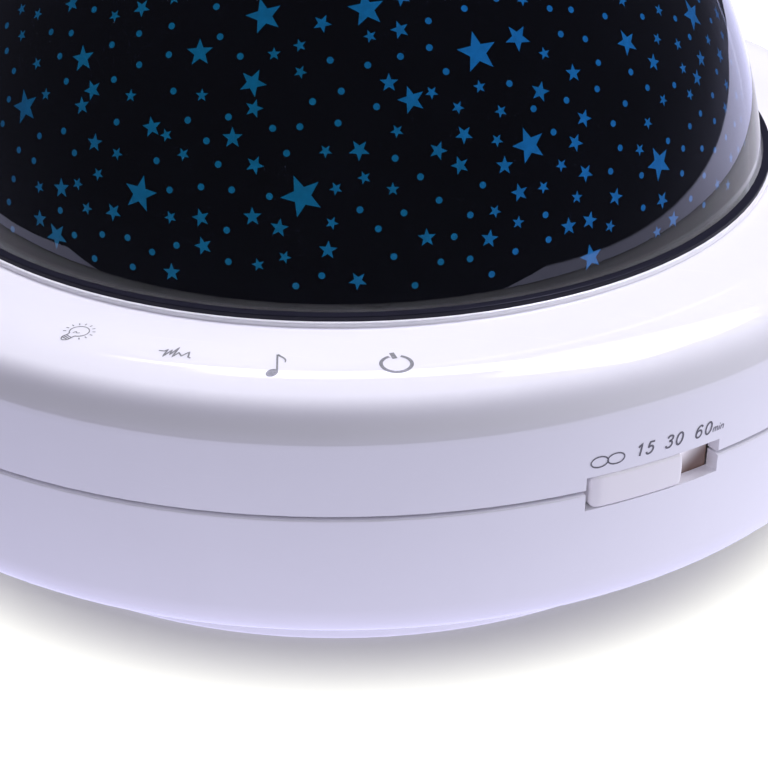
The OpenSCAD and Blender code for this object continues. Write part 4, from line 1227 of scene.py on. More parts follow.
@dataclass(frozen=True)
class Dome:
    """The dark clear dome, the star film inside it and the black ring round its foot."""

    side: Arc = Arc((-9.341, 43.422), 83.6)
    top: Arc = Arc((0.0, 50.808), 71.692)
    lean: float = 7.2
    turn_over: float = 38.334
    wall: float = 2.0
    film_out: float = 2.3
    film_in: float = 2.9
    film_foot: float = 52.1
    film_steps: int = 28
    film_segments: int = 144
    strewn_steps: int = 44
    strewn_segments: int = 240
    ring_edge: Arc = Arc((74.9, 55.2), 0.2)
    windows_field: StarField = StarField()
    rear_count: int = 46
    rear_heights: Pair = (62.0, 118.0)
    rear_sizes: tuple[StarSize, ...] = (StarSize.LARGE, StarSize.FULL, StarSize.MIDDLE, StarSize.LARGEST,
                                        StarSize.MIDDLE)
    golden_turn: float = 137.508
    first_turn: float = 40.0
    tip_turn: float = 47.0
    front: Pair = (-48.0, 84.0)
    front_top: float = 99.0

    def curve(self, inset: float, start: float, steps: int) -> list[Pair]:
        """The dome's half section, moved inwards.

        Args:
            inset: How far it is moved inwards.
            start: Angle of its first point on the side round.
            steps: Number of steps on each of its two rounds.

        Returns:
            Its points, from the foot to the axis.
        """
        over = self.turn_over
        low = [self.side.at(start + (over - start) * i / steps, inset) for i in range(steps + 1)]
        high = [self.top.at(over + (90 - over) * i / steps, inset) for i in range(1, steps + 1)]
        return low + high[:-1] + [(0.0, high[-1][1])]

    def build(self) -> None:
        """Builds the cover, the film, its windows and the ring, which gloss elsewhere doesn't see."""
        rounds = [self.side, self.top]
        cover = polished("dome_cover", "dome_cover_clear", rounds + [arc.inside(self.wall) for arc in rounds],
                         DOME_DARK, Body.BASE)
        outside = self.curve(self.film_out, self.lean, self.film_steps)
        inside = self.curve(self.film_in, self.lean, self.film_steps)
        profile = [(outside[0][0], self.film_foot), *outside, *reversed(inside),
                   (inside[0][0], self.film_foot)]
        film = add_piece("star_film", turned_sheet(profile, self.film_segments), FILM_BLACK, Body.BASE,
                         ("star_mask",))
        ring = polished("dome_ring", "dome_ring_gloss", [self.ring_edge], RING_BLACK, Body.BASE)
        for piece in (cover, film, ring, self.windows()):
            piece.visible_glossy = False

    def placed(self) -> bpy.types.Object:
        """Makes the points of the placed stars, with their size, turn and way up as attributes.

        Returns:
            An object of single points, in metres.
        """
        rows = [(star.azimuth, star.height, star.size.value, star.turn) for star in PLACED_STARS]
        rows += self.rear_stars()
        points, outward, upright = [], [], []
        for azimuth, height, _, _ in rows:
            arc = self.side if height < self.top.at(self.turn_over, self.film_out)[1] else self.top
            tilt = math.asin((height - arc.centre[1]) / (arc.radius - self.film_out))
            radius = arc.at(math.degrees(tilt), self.film_out)[0]
            angle = math.radians(azimuth)
            away = Vector((math.sin(angle), -math.cos(angle), 0.0))
            points.append((away * radius + Vector((0, 0, height))) * MM)
            outward.append(away * math.cos(tilt) + Vector((0, 0, math.sin(tilt))))
            upright.append(Vector((0, 0, math.cos(tilt))) - away * math.sin(tilt))
        mesh = bpy.data.meshes.new("placed_stars")
        mesh.from_pydata(points, [], [])
        values = {"tip": [row[2] * MM for row in rows], "turn": [math.radians(row[3]) for row in rows]}
        for name, numbers in values.items():
            mesh.attributes.new(name, "FLOAT", "POINT").data.foreach_set("value", numbers)
        for name, vectors in (("outward", outward), ("upright", upright)):
            flat = [part for vector in vectors for part in vector]
            mesh.attributes.new(name, "FLOAT_VECTOR", "POINT").data.foreach_set("vector", flat)
        holder = bpy.data.objects.new("placed_stars", mesh)
        bpy.context.scene.collection.objects.link(holder)
        return holder

    def rear_stars(self) -> list[tuple[float, float, float, float]]:
        """Large stars round the dome's back and on its crown, along a golden spiral.

        Returns:
            Azimuth, height, tip radius and turn of each.
        """
        rows = []
        low, high = self.rear_heights
        for step in range(self.rear_count):
            azimuth = (step * self.golden_turn + self.first_turn) % 360 - 180
            height = low + (high - low) * (step + 0.5) / self.rear_count
            if self.front[0] < azimuth < self.front[1] and height < self.front_top:
                continue
            size = self.rear_sizes[step % len(self.rear_sizes)]
            rows.append((azimuth, height, size.value, self.tip_turn * step))
        return rows

    def windows(self) -> bpy.types.Object:
        """Strews the windows over the film and turns them into one plain mesh.

        Returns:
            The windows.
        """
        curve = self.curve(self.film_out, self.lean, self.strewn_steps)
        surface = turned_sheet(curve, self.strewn_segments, closed=False)
        mesh = bpy.data.meshes.new("film_surface")
        points = [tuple(value * MM for value in point) for point in surface.points]
        mesh.from_pydata(points, [], surface.faces)
        carrier = bpy.data.objects.new("film_surface", mesh)
        bpy.context.scene.collection.objects.link(carrier)
        placed = self.placed()
        modifier = carrier.modifiers.new("star_field", "NODES")
        modifier.node_group = self.windows_field.tree()
        named = {item.name: item.identifier for item in modifier.node_group.interface.items_tree
                 if getattr(item, "in_out", "") == "INPUT"}
        modifier[named["Placed stars"]] = placed
        modifier[named["Finish"]] = WINDOW_PAINTED_GLOW.material()
        graph = bpy.context.evaluated_depsgraph_get()
        result = bpy.data.meshes.new_from_object(carrier.evaluated_get(graph))
        result.name = "star_windows"
        carrier.modifiers.clear()
        for helper in (carrier, placed):
            bpy.data.objects.remove(helper)
        return enlist("star_windows", result, Body.BASE)


# Timer switch -----------------------------------------------------------------------------------


@dataclass(frozen=True)
class TimerKnob:
    """The sliding knob at rest: the block in the slot, the flange behind the wall and two forks."""

    middle: float = 36.953
    base_r: float = 98.4
    face_r: float = 98.55
    length: float = 15.4
    low: float = 33.35
    high: float = 38.55
    flange_in: float = 94.7
    flange_out: float = 95.9
    flange_low: float = 32.0
    flange_high: float = 39.9
    flange_length: float = 23.4
    shutter: float = 2.75
    fork_in: float = 90.9
    fork_gap: float = 2.4
    fork_t: float = 1.2
    fork_half: float = 1.6
    sunk: float = 0.5
    fork_sunk: float = 0.4
    flange_edge: float = 0.25
    shutter_start: float = 0.1
    shutter_lap: float = 0.8
    shutter_t: float = 0.35
    shutter_proud: float = 0.03
    left_roll: Pair = (1.9, 0.95)
    right_roll: Pair = (0.5, 0.35)
    long_roll: Pair = (0.45, 0.4)
    left_corner: Pair = (0.9, 0.9)
    right_corner: Pair = (0.3, 0.3)
    right_bulge: float = 0.28
    bulge_w: float = 3.0
    fine_ends: Pair = (1.9, 0.7)
    plain_steps: tuple[int, int] = (18, 6)
    slab_steps: int = 24

    def place(self, along: float, height: float, radius: float) -> Point:
        """A point of the knob, by its way along the wall from the knob's middle, its height and radius."""
        angle = math.radians(self.middle) + along / self.base_r
        return radius * math.sin(angle), -radius * math.cos(angle), height

    @staticmethod
    def roll(distance: float, size: Pair) -> float:
        """How far a rounded edge falls away, at a distance from it, for a round of a width and depth."""
        width, depth = size
        if distance >= width:
            return 0.0
        return depth * (1 - math.sqrt(max(0.0, 1 - ((width - distance) / width) ** 2)))

    @staticmethod
    def graded(half: float, fine: float, count: int) -> list[float]:
        """Steps from -half to half, closer together near both ends.

        Args:
            half: Half the length.
            fine: Length at each end that has the close steps.
            count: Number of steps between those.

        Returns:
            The steps.
        """
        ends = [fine * (1 - math.cos(math.pi / 2 * i / 8)) for i in range(8)]
        middle = [-half + fine + (2 * half - 2 * fine) * i / count for i in range(count + 1)]
        return [-half + end for end in ends] + middle + [half - end for end in reversed(ends)]

    def block(self) -> Sheet:
        """The block that a finger pushes, with a rolled left end and a slightly bowed right end."""
        half, tall = self.length / 2, (self.high - self.low) / 2
        centre = (self.high + self.low) / 2
        columns = self.graded(half, self.fine_ends[0], self.plain_steps[0])
        rows = self.graded(tall, self.fine_ends[1], self.plain_steps[1])
        sheet = Sheet()
        for s in columns:
            from_left, from_right = s + half, half - s
            corner = self.roll(from_left, self.left_corner) + self.roll(from_right, self.right_corner)
            for t in rows:
                share = t / tall
                height = centre + t * (tall - corner) / tall
                near_end = max(0.0, (s - half + self.bulge_w) / self.bulge_w)
                bow = self.right_bulge * share * share * near_end
                fall = max(self.roll(from_left, self.left_roll), self.roll(from_right, self.right_roll))
                fall += self.roll(tall - abs(t), self.long_roll)
                sheet.points.append(self.place(s - bow, height, self.face_r - fall))
        wide, high = len(columns), len(rows)
        for i in range(wide - 1):
            for j in range(high - 1):
                first, second = i * high + j, (i + 1) * high + j
                sheet.faces.append((first, second, second + 1, first + 1))
        rim = [i * high for i in range(wide)] + [(wide - 1) * high + j for j in range(1, high)]
        rim += [i * high + high - 1 for i in range(wide - 2, -1, -1)] + list(range(high - 2, 0, -1))
        start = len(sheet.points)
        for index in rim:
            x, y, z = sheet.points[index]
            scale = (self.flange_out - self.sunk) / math.hypot(x, y)
            sheet.points.append((x * scale, y * scale, z))
        for k in range(len(rim)):
            after = (k + 1) % len(rim)
            sheet.faces.append((rim[after], rim[k], start + k, start + after))
        sheet.faces.append(tuple(start + k for k in range(len(rim))))
        return sheet.outwards()

    def slab(self, ends: Pair, low: float, high: float, inner: float, outer: float, edge: float) -> Sheet:
        """A curved slab behind the wall with chamfered edges.

        Args:
            ends: Where it starts and ends along the wall, from the knob's middle.
            low: Its lower edge.
            high: Its upper edge.
            inner: Radius of its inner face.
            outer: Radius of its outer face.
            edge: Size of its chamfers.

        Returns:
            The slab.
        """
        section = [(inner + edge, low), (outer - edge, low), (outer, low + edge), (outer, high - edge),
                   (outer - edge, high), (inner + edge, high), (inner, high - edge), (inner, low + edge)]
        steps = self.slab_steps
        sheet = Sheet()
        for i in range(steps + 1):
            along = ends[0] + (ends[1] - ends[0]) * i / steps
            sheet.points.extend(self.place(along, height, radius) for radius, height in section)
        count = len(section)
        for i in range(steps):
            for k in range(count):
                near, far, after = i * count, (i + 1) * count, (k + 1) % count
                sheet.faces.append((near + k, near + after, far + after, far + k))
        sheet.faces.append(tuple(range(count - 1, -1, -1)))
        sheet.faces.append(tuple(steps * count + k for k in range(count)))
        return sheet.outwards()

    def fork(self, side: int) -> Sheet:
        """One fork that takes the switch's lever along.

        Args:
            side: -1 or 1.

        Returns:
            The fork.
        """
        angle = math.radians(self.middle)
        outward = Vector((math.sin(angle), -math.cos(angle), 0.0))
        aside = Vector((math.cos(angle), math.sin(angle), 0.0))
        centre = (self.high + self.low) / 2
        near = side * self.fork_gap / 2
        far = near + side * self.fork_t
        sheet = Sheet()
        half = self.fork_half
        for radius in (self.fork_in, self.flange_in + self.fork_sunk):
            for offset, height in ((near, -half), (far, -half), (far, half), (near, half)):
                above = Vector((0.0, 0.0, centre + height))
                sheet.points.append(tuple(outward * radius + aside * offset + above))
        sheet.faces = [(3, 2, 1, 0), (4, 5, 6, 7), (0, 1, 5, 4), (1, 2, 6, 5), (2, 3, 7, 6), (3, 0, 4, 7)]
        return sheet.outwards()

    def build(self) -> None:
        """Builds the knob as one piece, and the shutter that closes the slot's open end behind it, which
        carries painted shade.
        """
        knob = self.block()
        half = self.flange_length / 2
        knob.join(self.slab((-half, half), self.flange_low, self.flange_high, self.flange_in, self.flange_out,
                            self.flange_edge))
        knob.join(self.fork(-1)).join(self.fork(1))
        add_piece("timer_slide_knob", knob, KNOB_WHITE, Body.SLIDER, ("timer_knob",), sharp=40.0)
        # The shutter's colour is painted shade with a painted glow, darker towards the slot's far end and
        # bottom.
        ends = (self.length / 2 + self.shutter_start, half + self.shutter)
        shutter = self.slab(ends, self.low - self.shutter_lap, self.high + self.shutter_lap,
                            self.flange_out - self.shutter_t, self.flange_out + self.shutter_proud,
                            self.shutter_proud)
        add_piece("timer_slide_shutter", shutter, SLOT_PAINTED_SHADE, Body.SLIDER, sharp=40.0)


# Printed marks ----------------------------------------------------------------------------------


@dataclass(frozen=True)
class Stroke:
    """A pen stroke of a mark, in millimetres: its points, its width, and whether it closes."""

    points: tuple[Pair, ...]
    width: float
    closed: bool = False
    curved: bool = False
    taper: float = 1.0
    step: float = 0.45
    curve_steps: int = 5
    longest_mitre: float = 1.6

    def line(self) -> list[Pair]:
        """The stroke's points, close enough together to follow a round surface."""
        line = self.smooth() if self.curved else list(self.points)
        if self.closed:
            return line
        out = [line[0]]
        for start, end in zip(line, line[1:]):
            steps = max(1, math.ceil(math.dist(start, end) / self.step))
            out += [tuple(a + (b - a) * i / steps for a, b in zip(start, end)) for i in range(1, steps + 1)]
        return out

    def smooth(self) -> list[Pair]:
        """A smooth curve through the stroke's points."""
        points, count = self.points, len(self.points)
        ends = count if self.closed else count - 1
        out: list[Pair] = []
        for i in range(ends):
            around = [points[(i + k) % count] if self.closed else points[min(max(i + k, 0), count - 1)]
                      for k in (-1, 0, 1, 2)]
            for step in range(self.curve_steps):
                t = step / self.curve_steps
                out.append(tuple(0.5 * (2 * b + (c - a) * t + (2 * a - 5 * b + 4 * c - d) * t * t
                                        + (3 * b - a - 3 * c + d) * t ** 3)
                                 for a, b, c, d in zip(*around)))
        return out if self.closed else out + [points[-1]]

    def ribbon(self) -> tuple[list[Pair], list[Face]]:
        """The stroke as a flat band with mitred corners.

        Returns:
            Its points and its faces, which go round anticlockwise.
        """
        line = self.line()
        count = len(line)
        left: list[Pair] = []
        right: list[Pair] = []
        for i, (x, y) in enumerate(line):
            before = line[i - 1] if i or self.closed else line[0]
            after = line[(i + 1) % count] if i < count - 1 or self.closed else line[-1]
            first, second = self.unit(before, (x, y)), self.unit((x, y), after)
            first, second = first or second, second or first
            nx, ny = -(first[1] + second[1]), first[0] + second[0]
            size = math.hypot(nx, ny) or 1.0
            mitre = min(self.longest_mitre, 2.0 / size)
            half = self.width / 2 * mitre * (1 + (self.taper - 1) * i / max(1, count - 1))
            left.append((x + nx / size * half, y + ny / size * half))
            right.append((x - nx / size * half, y - ny / size * half))
        faces = []
        for i in range(count if self.closed else count - 1):
            after = (i + 1) % count
            faces.append((count + i, count + after, after, i))
        return left + right, faces

    @staticmethod
    def unit(start: Pair, end: Pair) -> Pair | None:
        """The direction from one point to another, or nothing where they are the same."""
        dx, dy = end[0] - start[0], end[1] - start[1]
        size = math.hypot(dx, dy)
        return (dx / size, dy / size) if size > 1e-9 else None


def ellipse(x: float, y: float, rx: float, ry: float, start: float = 0.0, end: float = 360.0,
            count: int = 28, tilt: float = 0.0) -> tuple[Pair, ...]:
    """Points of an ellipse or a part of one.

    Args:
        x: Its middle.
        y: Its middle.
        rx: Its half width.
        ry: Its half height.
        start: Angle of the first point.
        end: Angle of the last point, which is left out of a whole ellipse.
        count: Number of steps.
        tilt: Turn of the whole ellipse.

    Returns:
        The points.
    """
    whole = end - start >= 360
    cos, sin = math.cos(math.radians(tilt)), math.sin(math.radians(tilt))
    points = []
    for i in range(count if whole else count + 1):
        angle = math.radians(start + (end - start) * i / count)
        px, py = rx * math.cos(angle), ry * math.sin(angle)
        points.append((x + px * cos - py * sin, y + px * sin + py * cos))
    return tuple(points)


class Glyph(Enum):
    """Strokes of the numerals and letters, in a box of height 1."""

    ONE = ((((0.1, 0.76), (0.38, 1.0), (0.38, 0.0)), False),)
    FIVE = ((((0.56, 0.98), (0.16, 0.98), (0.09, 0.52)), False),
            (((0.09, 0.52), (0.28, 0.63), (0.48, 0.56), (0.56, 0.34), (0.47, 0.1), (0.26, 0.0), (0.08, 0.05),
              (0.0, 0.19)), True))
    THREE = ((((0.04, 0.82), (0.13, 0.96), (0.3, 1.0), (0.47, 0.93), (0.51, 0.76), (0.42, 0.6),
               (0.23, 0.54)), True),
             (((0.23, 0.54), (0.45, 0.48), (0.55, 0.29), (0.48, 0.09), (0.27, 0.0), (0.08, 0.05),
               (0.0, 0.2)), True))
    SIX = ((((0.53, 0.84), (0.42, 0.97), (0.26, 0.98), (0.08, 0.8), (0.01, 0.48), (0.06, 0.14), (0.25, 0.0),
             (0.46, 0.07), (0.55, 0.3), (0.46, 0.53), (0.28, 0.6), (0.1, 0.51), (0.03, 0.34)), True),)
    NOUGHT = ((ellipse(0.29, 0.5, 0.28, 0.5) + ((0.57, 0.5),), False),)
    MINUTES = ((((0.0, 0.0), (0.0, 0.62)), False),
               (((0.0, 0.42), (0.12, 0.6), (0.28, 0.6), (0.34, 0.44), (0.34, 0.0)), True),
               (((0.34, 0.42), (0.46, 0.6), (0.62, 0.6), (0.68, 0.44), (0.68, 0.0)), True),
               (((0.96, 0.0), (0.96, 0.6)), False), (((0.96, 0.82), (0.96, 0.96)), False),
               (((1.24, 0.0), (1.24, 0.62)), False),
               (((1.24, 0.42), (1.38, 0.6), (1.56, 0.6), (1.64, 0.44), (1.64, 0.0)), True))


@dataclass(frozen=True)
class Marks:
    """The printed marks: four touch keys on the top, and the timer's scale on the side wall."""

    housings: Housings
    lift: float = 0.025
    key_circle: float = 86.3
    key_scale: float = 0.78
    bulb_at: Pair = (-14.6, 0.8)
    pulse_at: Pair = (-4.0, 0.4)
    note_at: Pair = (5.7, -0.35)
    power_at: Pair = (16.7, -0.15)
    scale_z: float = 41.3
    loops_at: float = 33.85
    loop_size: Pair = (1.36, 0.86)
    loop_apart: float = 1.32
    loop_low: float = 0.3
    loop_pen: float = 0.22
    numerals: tuple[tuple[float, Glyph, Glyph], ...] = (
        (37.38, Glyph.ONE, Glyph.FIVE), (40.35, Glyph.THREE, Glyph.NOUGHT),
        (43.46, Glyph.SIX, Glyph.NOUGHT))
    numeral_h: float = 2.2
    numeral_pen: float = 0.31
    numeral_w: float = 0.57
    numeral_step: float = 0.8
    minutes_at: float = 44.75
    minutes_h: float = 1.35
    minutes_pen: float = 0.17
    minutes_low: float = 0.35
    slant: float = 0.2

    def bulb(self) -> list[Stroke]:
        """A light bulb with rays, tilted to the left."""
        (x, y), glass_r, pen = (0.35, 0.75), 1.85, 0.24
        down, opening, ray_count, ray_step = 251, 24, 11, 26

        def spot(degrees: float, reach: float) -> Pair:
            """The point at an angle and a distance from the glass's middle."""
            return x + reach * math.cos(math.radians(degrees)), y + reach * math.sin(math.radians(degrees))

        neck = [spot(down + turn, glass_r) for turn in (-opening, opening)]
        aside = (math.cos(math.radians(down)), math.sin(math.radians(down)))
        caps = [tuple((px + aside[0] * drop, py + aside[1] * drop) for px, py in neck)
                for drop in (0.75, 1.25, 1.7)]
        strokes = [Stroke(ellipse(x, y, glass_r, glass_r, down + opening, down + 360 - opening, 30), pen)]
        strokes += [Stroke((neck[k], caps[0][k]), pen) for k in (0, 1)]
        strokes += [Stroke(cap, pen) for cap in caps]
        base = (caps[0][0], caps[2][0], spot(down, 4.05), caps[2][1], caps[0][1])
        strokes.append(Stroke(base, pen, curved=True))
        strokes.append(Stroke(((-0.45, -0.2), (-0.1, 0.4), (0.3, 0.0), (0.7, 0.3)), pen * 0.9, curved=True))
        for i in range(ray_count):
            angle = down + 50 + ray_step * i
            strokes.append(Stroke((spot(angle, 2.45), spot(angle, 3.05)), pen))
        return strokes

    def pulse(self) -> list[Stroke]:
        """A heartbeat line."""
        points = ((-3.2, 0.0), (-2.1, 0.05), (-1.7, 0.75), (-1.75, -1.75), (-0.9, 0.7), (-0.75, -0.9),
                  (0.05, 1.95), (-0.1, -1.5), (0.6, 0.15), (1.4, -0.85), (2.4, 0.8), (2.7, -0.95),
                  (3.2, -1.2))
        return [Stroke(points, 0.34)]

    def note(self) -> list[Stroke]:
        """A quaver."""
        head = [Stroke(ellipse(-0.45, -2.75, radius * 0.9, radius * 1.25, tilt=-30), 0.34, closed=True)
                for radius in (0.12, 0.38, 0.64, 0.88)]
        stem = Stroke(((0.42, -2.5), (-0.3, 3.5)), 0.36)
        flag = Stroke(((-0.3, 3.5), (0.25, 3.0), (0.95, 2.4), (1.4, 1.7), (1.45, 0.8)), 0.6, curved=True,
                      taper=0.35)
        return head + [stem, flag]

    def power(self) -> list[Stroke]:
        """A ring that is open at the top, with a bar in the gap."""
        ring = Stroke(ellipse(0.0, 0.0, 2.75, 2.75, 113, 427, 40), 0.68)
        return [ring, Stroke(((-0.05, 1.75), (-0.5, 3.9)), 0.95)]

    @staticmethod
    def lay(strokes: Sequence[Stroke], put: Laying) -> Sheet:
        """Lays strokes on a surface.

        Args:
            strokes: The strokes.
            put: Gives the place of a point of the mark.

        Returns:
            The sheet of all strokes.
        """
        sheet = Sheet()
        for stroke in strokes:
            points, faces = stroke.ribbon()
            sheet.join(Sheet([put(x, y) for x, y in points], faces))
        return sheet

    def on_key(self, azimuth: float, up: float) -> Laying:
        """Places a mark on the top, upright for someone in front.

        Args:
            azimuth: Azimuth of its middle.
            up: How far its middle lies inside the circle of the keys.

        Returns:
            The function that places a point.
        """
        def put(x: float, y: float) -> Point:
            """A point of the mark on the top."""
            turn = math.degrees(x * self.key_scale / self.key_circle)
            return self.housings.on_top(azimuth + turn, self.key_circle - up - y * self.key_scale, self.lift)

        return put

    def on_scale(self, azimuth: float) -> Laying:
        """Places a mark on the side wall.

        Args:
            azimuth: Azimuth of its middle.

        Returns:
            The function that places a point.
        """
        def put(x: float, y: float) -> Point:
            """A point of the mark on the wall."""
            turn = math.degrees(x / self.housings.base_r)
            return self.housings.on_wall(azimuth + turn, self.scale_z + y, self.lift)

        return put

    def written(self, glyphs: Sequence[Glyph], height: float, width: float) -> list[Stroke]:
        """Writes slanted glyphs with their middle at the mark's middle.

        Args:
            glyphs: The glyphs.
            height: Their height.
            width: Width of the pen.

        Returns:
            Their strokes.
        """
        inset = height - width
        total = (len(glyphs) - 1) * self.numeral_step * height + self.numeral_w * inset
        strokes = []
        for number, glyph in enumerate(glyphs):
            for points, curved in glyph.value:
                placed = []
                for x, y in points:
                    up = y * inset - inset / 2
                    along = x * inset + number * self.numeral_step * height - total / 2
                    placed.append((along + up * self.slant, up))
                strokes.append(Stroke(tuple(placed), width, curved=curved))
        return strokes

    def build(self) -> None:
        """Builds the touch marks and the timer's scale."""
        keys = Sheet()
        for place, strokes in ((self.bulb_at, self.bulb()), (self.pulse_at, self.pulse()),
                               (self.note_at, self.note()), (self.power_at, self.power())):
            keys.join(self.lay(strokes, self.on_key(*place)))
        add_piece("touch_marks", keys, PRINT_GREY, Body.BASE)
        loops = [Stroke(ellipse(side * self.loop_apart, -self.loop_low, *self.loop_size), self.loop_pen,
                        closed=True) for side in (-1, 1)]
        scale = self.lay(loops, self.on_scale(self.loops_at))
        for azimuth, *glyphs in self.numerals:
            written = self.written(glyphs, self.numeral_h, self.numeral_pen)
            scale.join(self.lay(written, self.on_scale(azimuth)))
        add_piece("timer_numerals", scale, PRINT_DARK, Body.BASE)
        small = self.written((Glyph.MINUTES,), self.minutes_h, self.minutes_pen)
        low = [replace(stroke, points=tuple((x, y - self.minutes_low) for x, y in stroke.points))
               for stroke in small]
        add_piece("timer_minutes", self.lay(low, self.on_scale(self.minutes_at)), PRINT_PALE, Body.BASE)


# The parts that carry their own shape -----------------------------------------------------------


@dataclass(frozen=True)
class InnerWorks:
    """Lamp, boards, speaker, batteries, power socket and fasteners. Their shapes are the CAD's own."""

    finishes: tuple[tuple[Finish, tuple[str, ...]], ...] = (
        (SCREW_STEEL, ("dome_screws", "lamp_post_screws", "board_screws", "touch_board_screws",
                       "battery_door_screws", "speaker_screws", "housing_screws")),
        (INNER_WHITE, ("light_deck", "lamp_post")),
        (LAMP_BOARD, ("lamp_board",)),
        (LENS_CLEAR, ("lamp_leds",)),
        (BOARD_GREEN, ("main_board", "touch_board", "power_board")),
        (BOARD_BROWN, ("timer_board",)),
        (CHIP_BLACK, ("board_chips", "power_socket_tongue")),
        (CAPACITOR_BLUE, ("board_capacitors",)),
        (CONNECTOR_CREAM, ("board_connectors",)),
        (FOAM_GREY, ("touch_pads", "speaker_gasket")),
        (SOCKET_STEEL, ("timer_switch_case", "power_socket_shell")),
        (LEVER_BLACK, ("timer_switch_lever",)),
        (SHELL_WHITE, ("battery_door",)),
        (CELL_SLEEVE, ("battery_cells",)),
        (CONTACT_STEEL, ("battery_contacts",)),
        (SPEAKER_GREY, ("speaker_frame",)),
        (CONE_PAPER, ("speaker_cone",)),
        (MAGNET_GREY, ("speaker_magnet",)),
        (FOOT_RUBBER, ("rubber_feet",)),
        (LEAD_RED, ("inner_leads",)),
    )

    def build(self) -> None:
        """Gives each node its finish."""
        for finish, nodes in self.finishes:
            dress(finish, *nodes)


# Studio -----------------------------------------------------------------------------------------


DOME_PIECES = ("dome_cover_clear", "star_film", "star_windows", "dome_ring_gloss")


@dataclass(frozen=True)
class SoftBox:
    """A soft lamp over the object: place, size, power and colour."""

    name: str
    place: Point
    size: Pair
    power: float
    colour: Colour = (1.0, 1.0, 1.0)
    passes: tuple[str, ...] = ()
    on_floor: bool = False
    aim: Point = (0.0, 0.0, 0.05)

    def build(self) -> None:
        """Builds the lamp, turned to the object and unseen by the camera and in reflections.

        The pieces that it passes throw no shadow from it. It lights the floor alone, or all but the floor.
        """
        light = bpy.data.lights.new(self.name, "AREA")
        light.shape = "RECTANGLE"
        light.size, light.size_y = self.size
        light.energy = self.power
        light.color = self.colour
        lamp = bpy.data.objects.new(self.name, light)
        lamp.location = self.place
        way = Vector(self.aim) - Vector(self.place)
        lamp.rotation_euler = way.to_track_quat("-Z", "Y").to_euler()
        lamp.visible_camera = False
        lamp.visible_glossy = False
        lamp.visible_transmission = False
        bpy.context.scene.collection.objects.link(lamp)
        if self.passes:
            passed = bpy.data.collections.new(f"{self.name}_passes")
            for name in self.passes:
                passed.objects.link(bpy.data.objects[name])
            for entry in passed.collection_objects:
                entry.light_linking.link_state = "EXCLUDE"
            lamp.light_linking.blocker_collection = passed
        lit = bpy.data.collections.new(f"{self.name}_lights")
        lit.objects.link(bpy.data.objects["studio_floor"])
        for entry in lit.collection_objects:
            entry.light_linking.link_state = "INCLUDE" if self.on_floor else "EXCLUDE"
        lamp.light_linking.receiver_collection = lit


@dataclass(frozen=True)
class Glow:
    """A bright field of the studio that gloss reflects: a window of azimuths and elevations."""

    azimuth: Pair
    elevation: Pair
    level: float
    soft_azimuth: Pair = (1.0, 2.5)
    soft_elevation: Pair = (0.4, 0.4)
    tilt: float = 0.0

    def brightness(self, tree: Tree, turn: Socket, rise: Socket) -> Socket:
        """Builds the field's level in a direction.

        Args:
            tree: The world's tree.
            turn: The direction's azimuth.
            rise: The direction's elevation.

        Returns:
            The level's socket.
        """
        away = tree.math("SUBTRACT", turn, sum(self.azimuth) / 2)
        sloped = tree.math("SUBTRACT", rise, tree.math("MULTIPLY", away, self.tilt))
        level: Any = self.level
        for value, (low, high), (soft_low, soft_high) in (
                (turn, self.azimuth, self.soft_azimuth), (sloped, self.elevation, self.soft_elevation)):
            enter = tree.span(value, low - soft_low, low + soft_low, smooth=True)
            leave = tree.span(value, high - soft_high, high + soft_high, 1.0, 0.0, smooth=True)
            level = tree.math("MULTIPLY", level, tree.math("MULTIPLY", enter, leave))
        return level


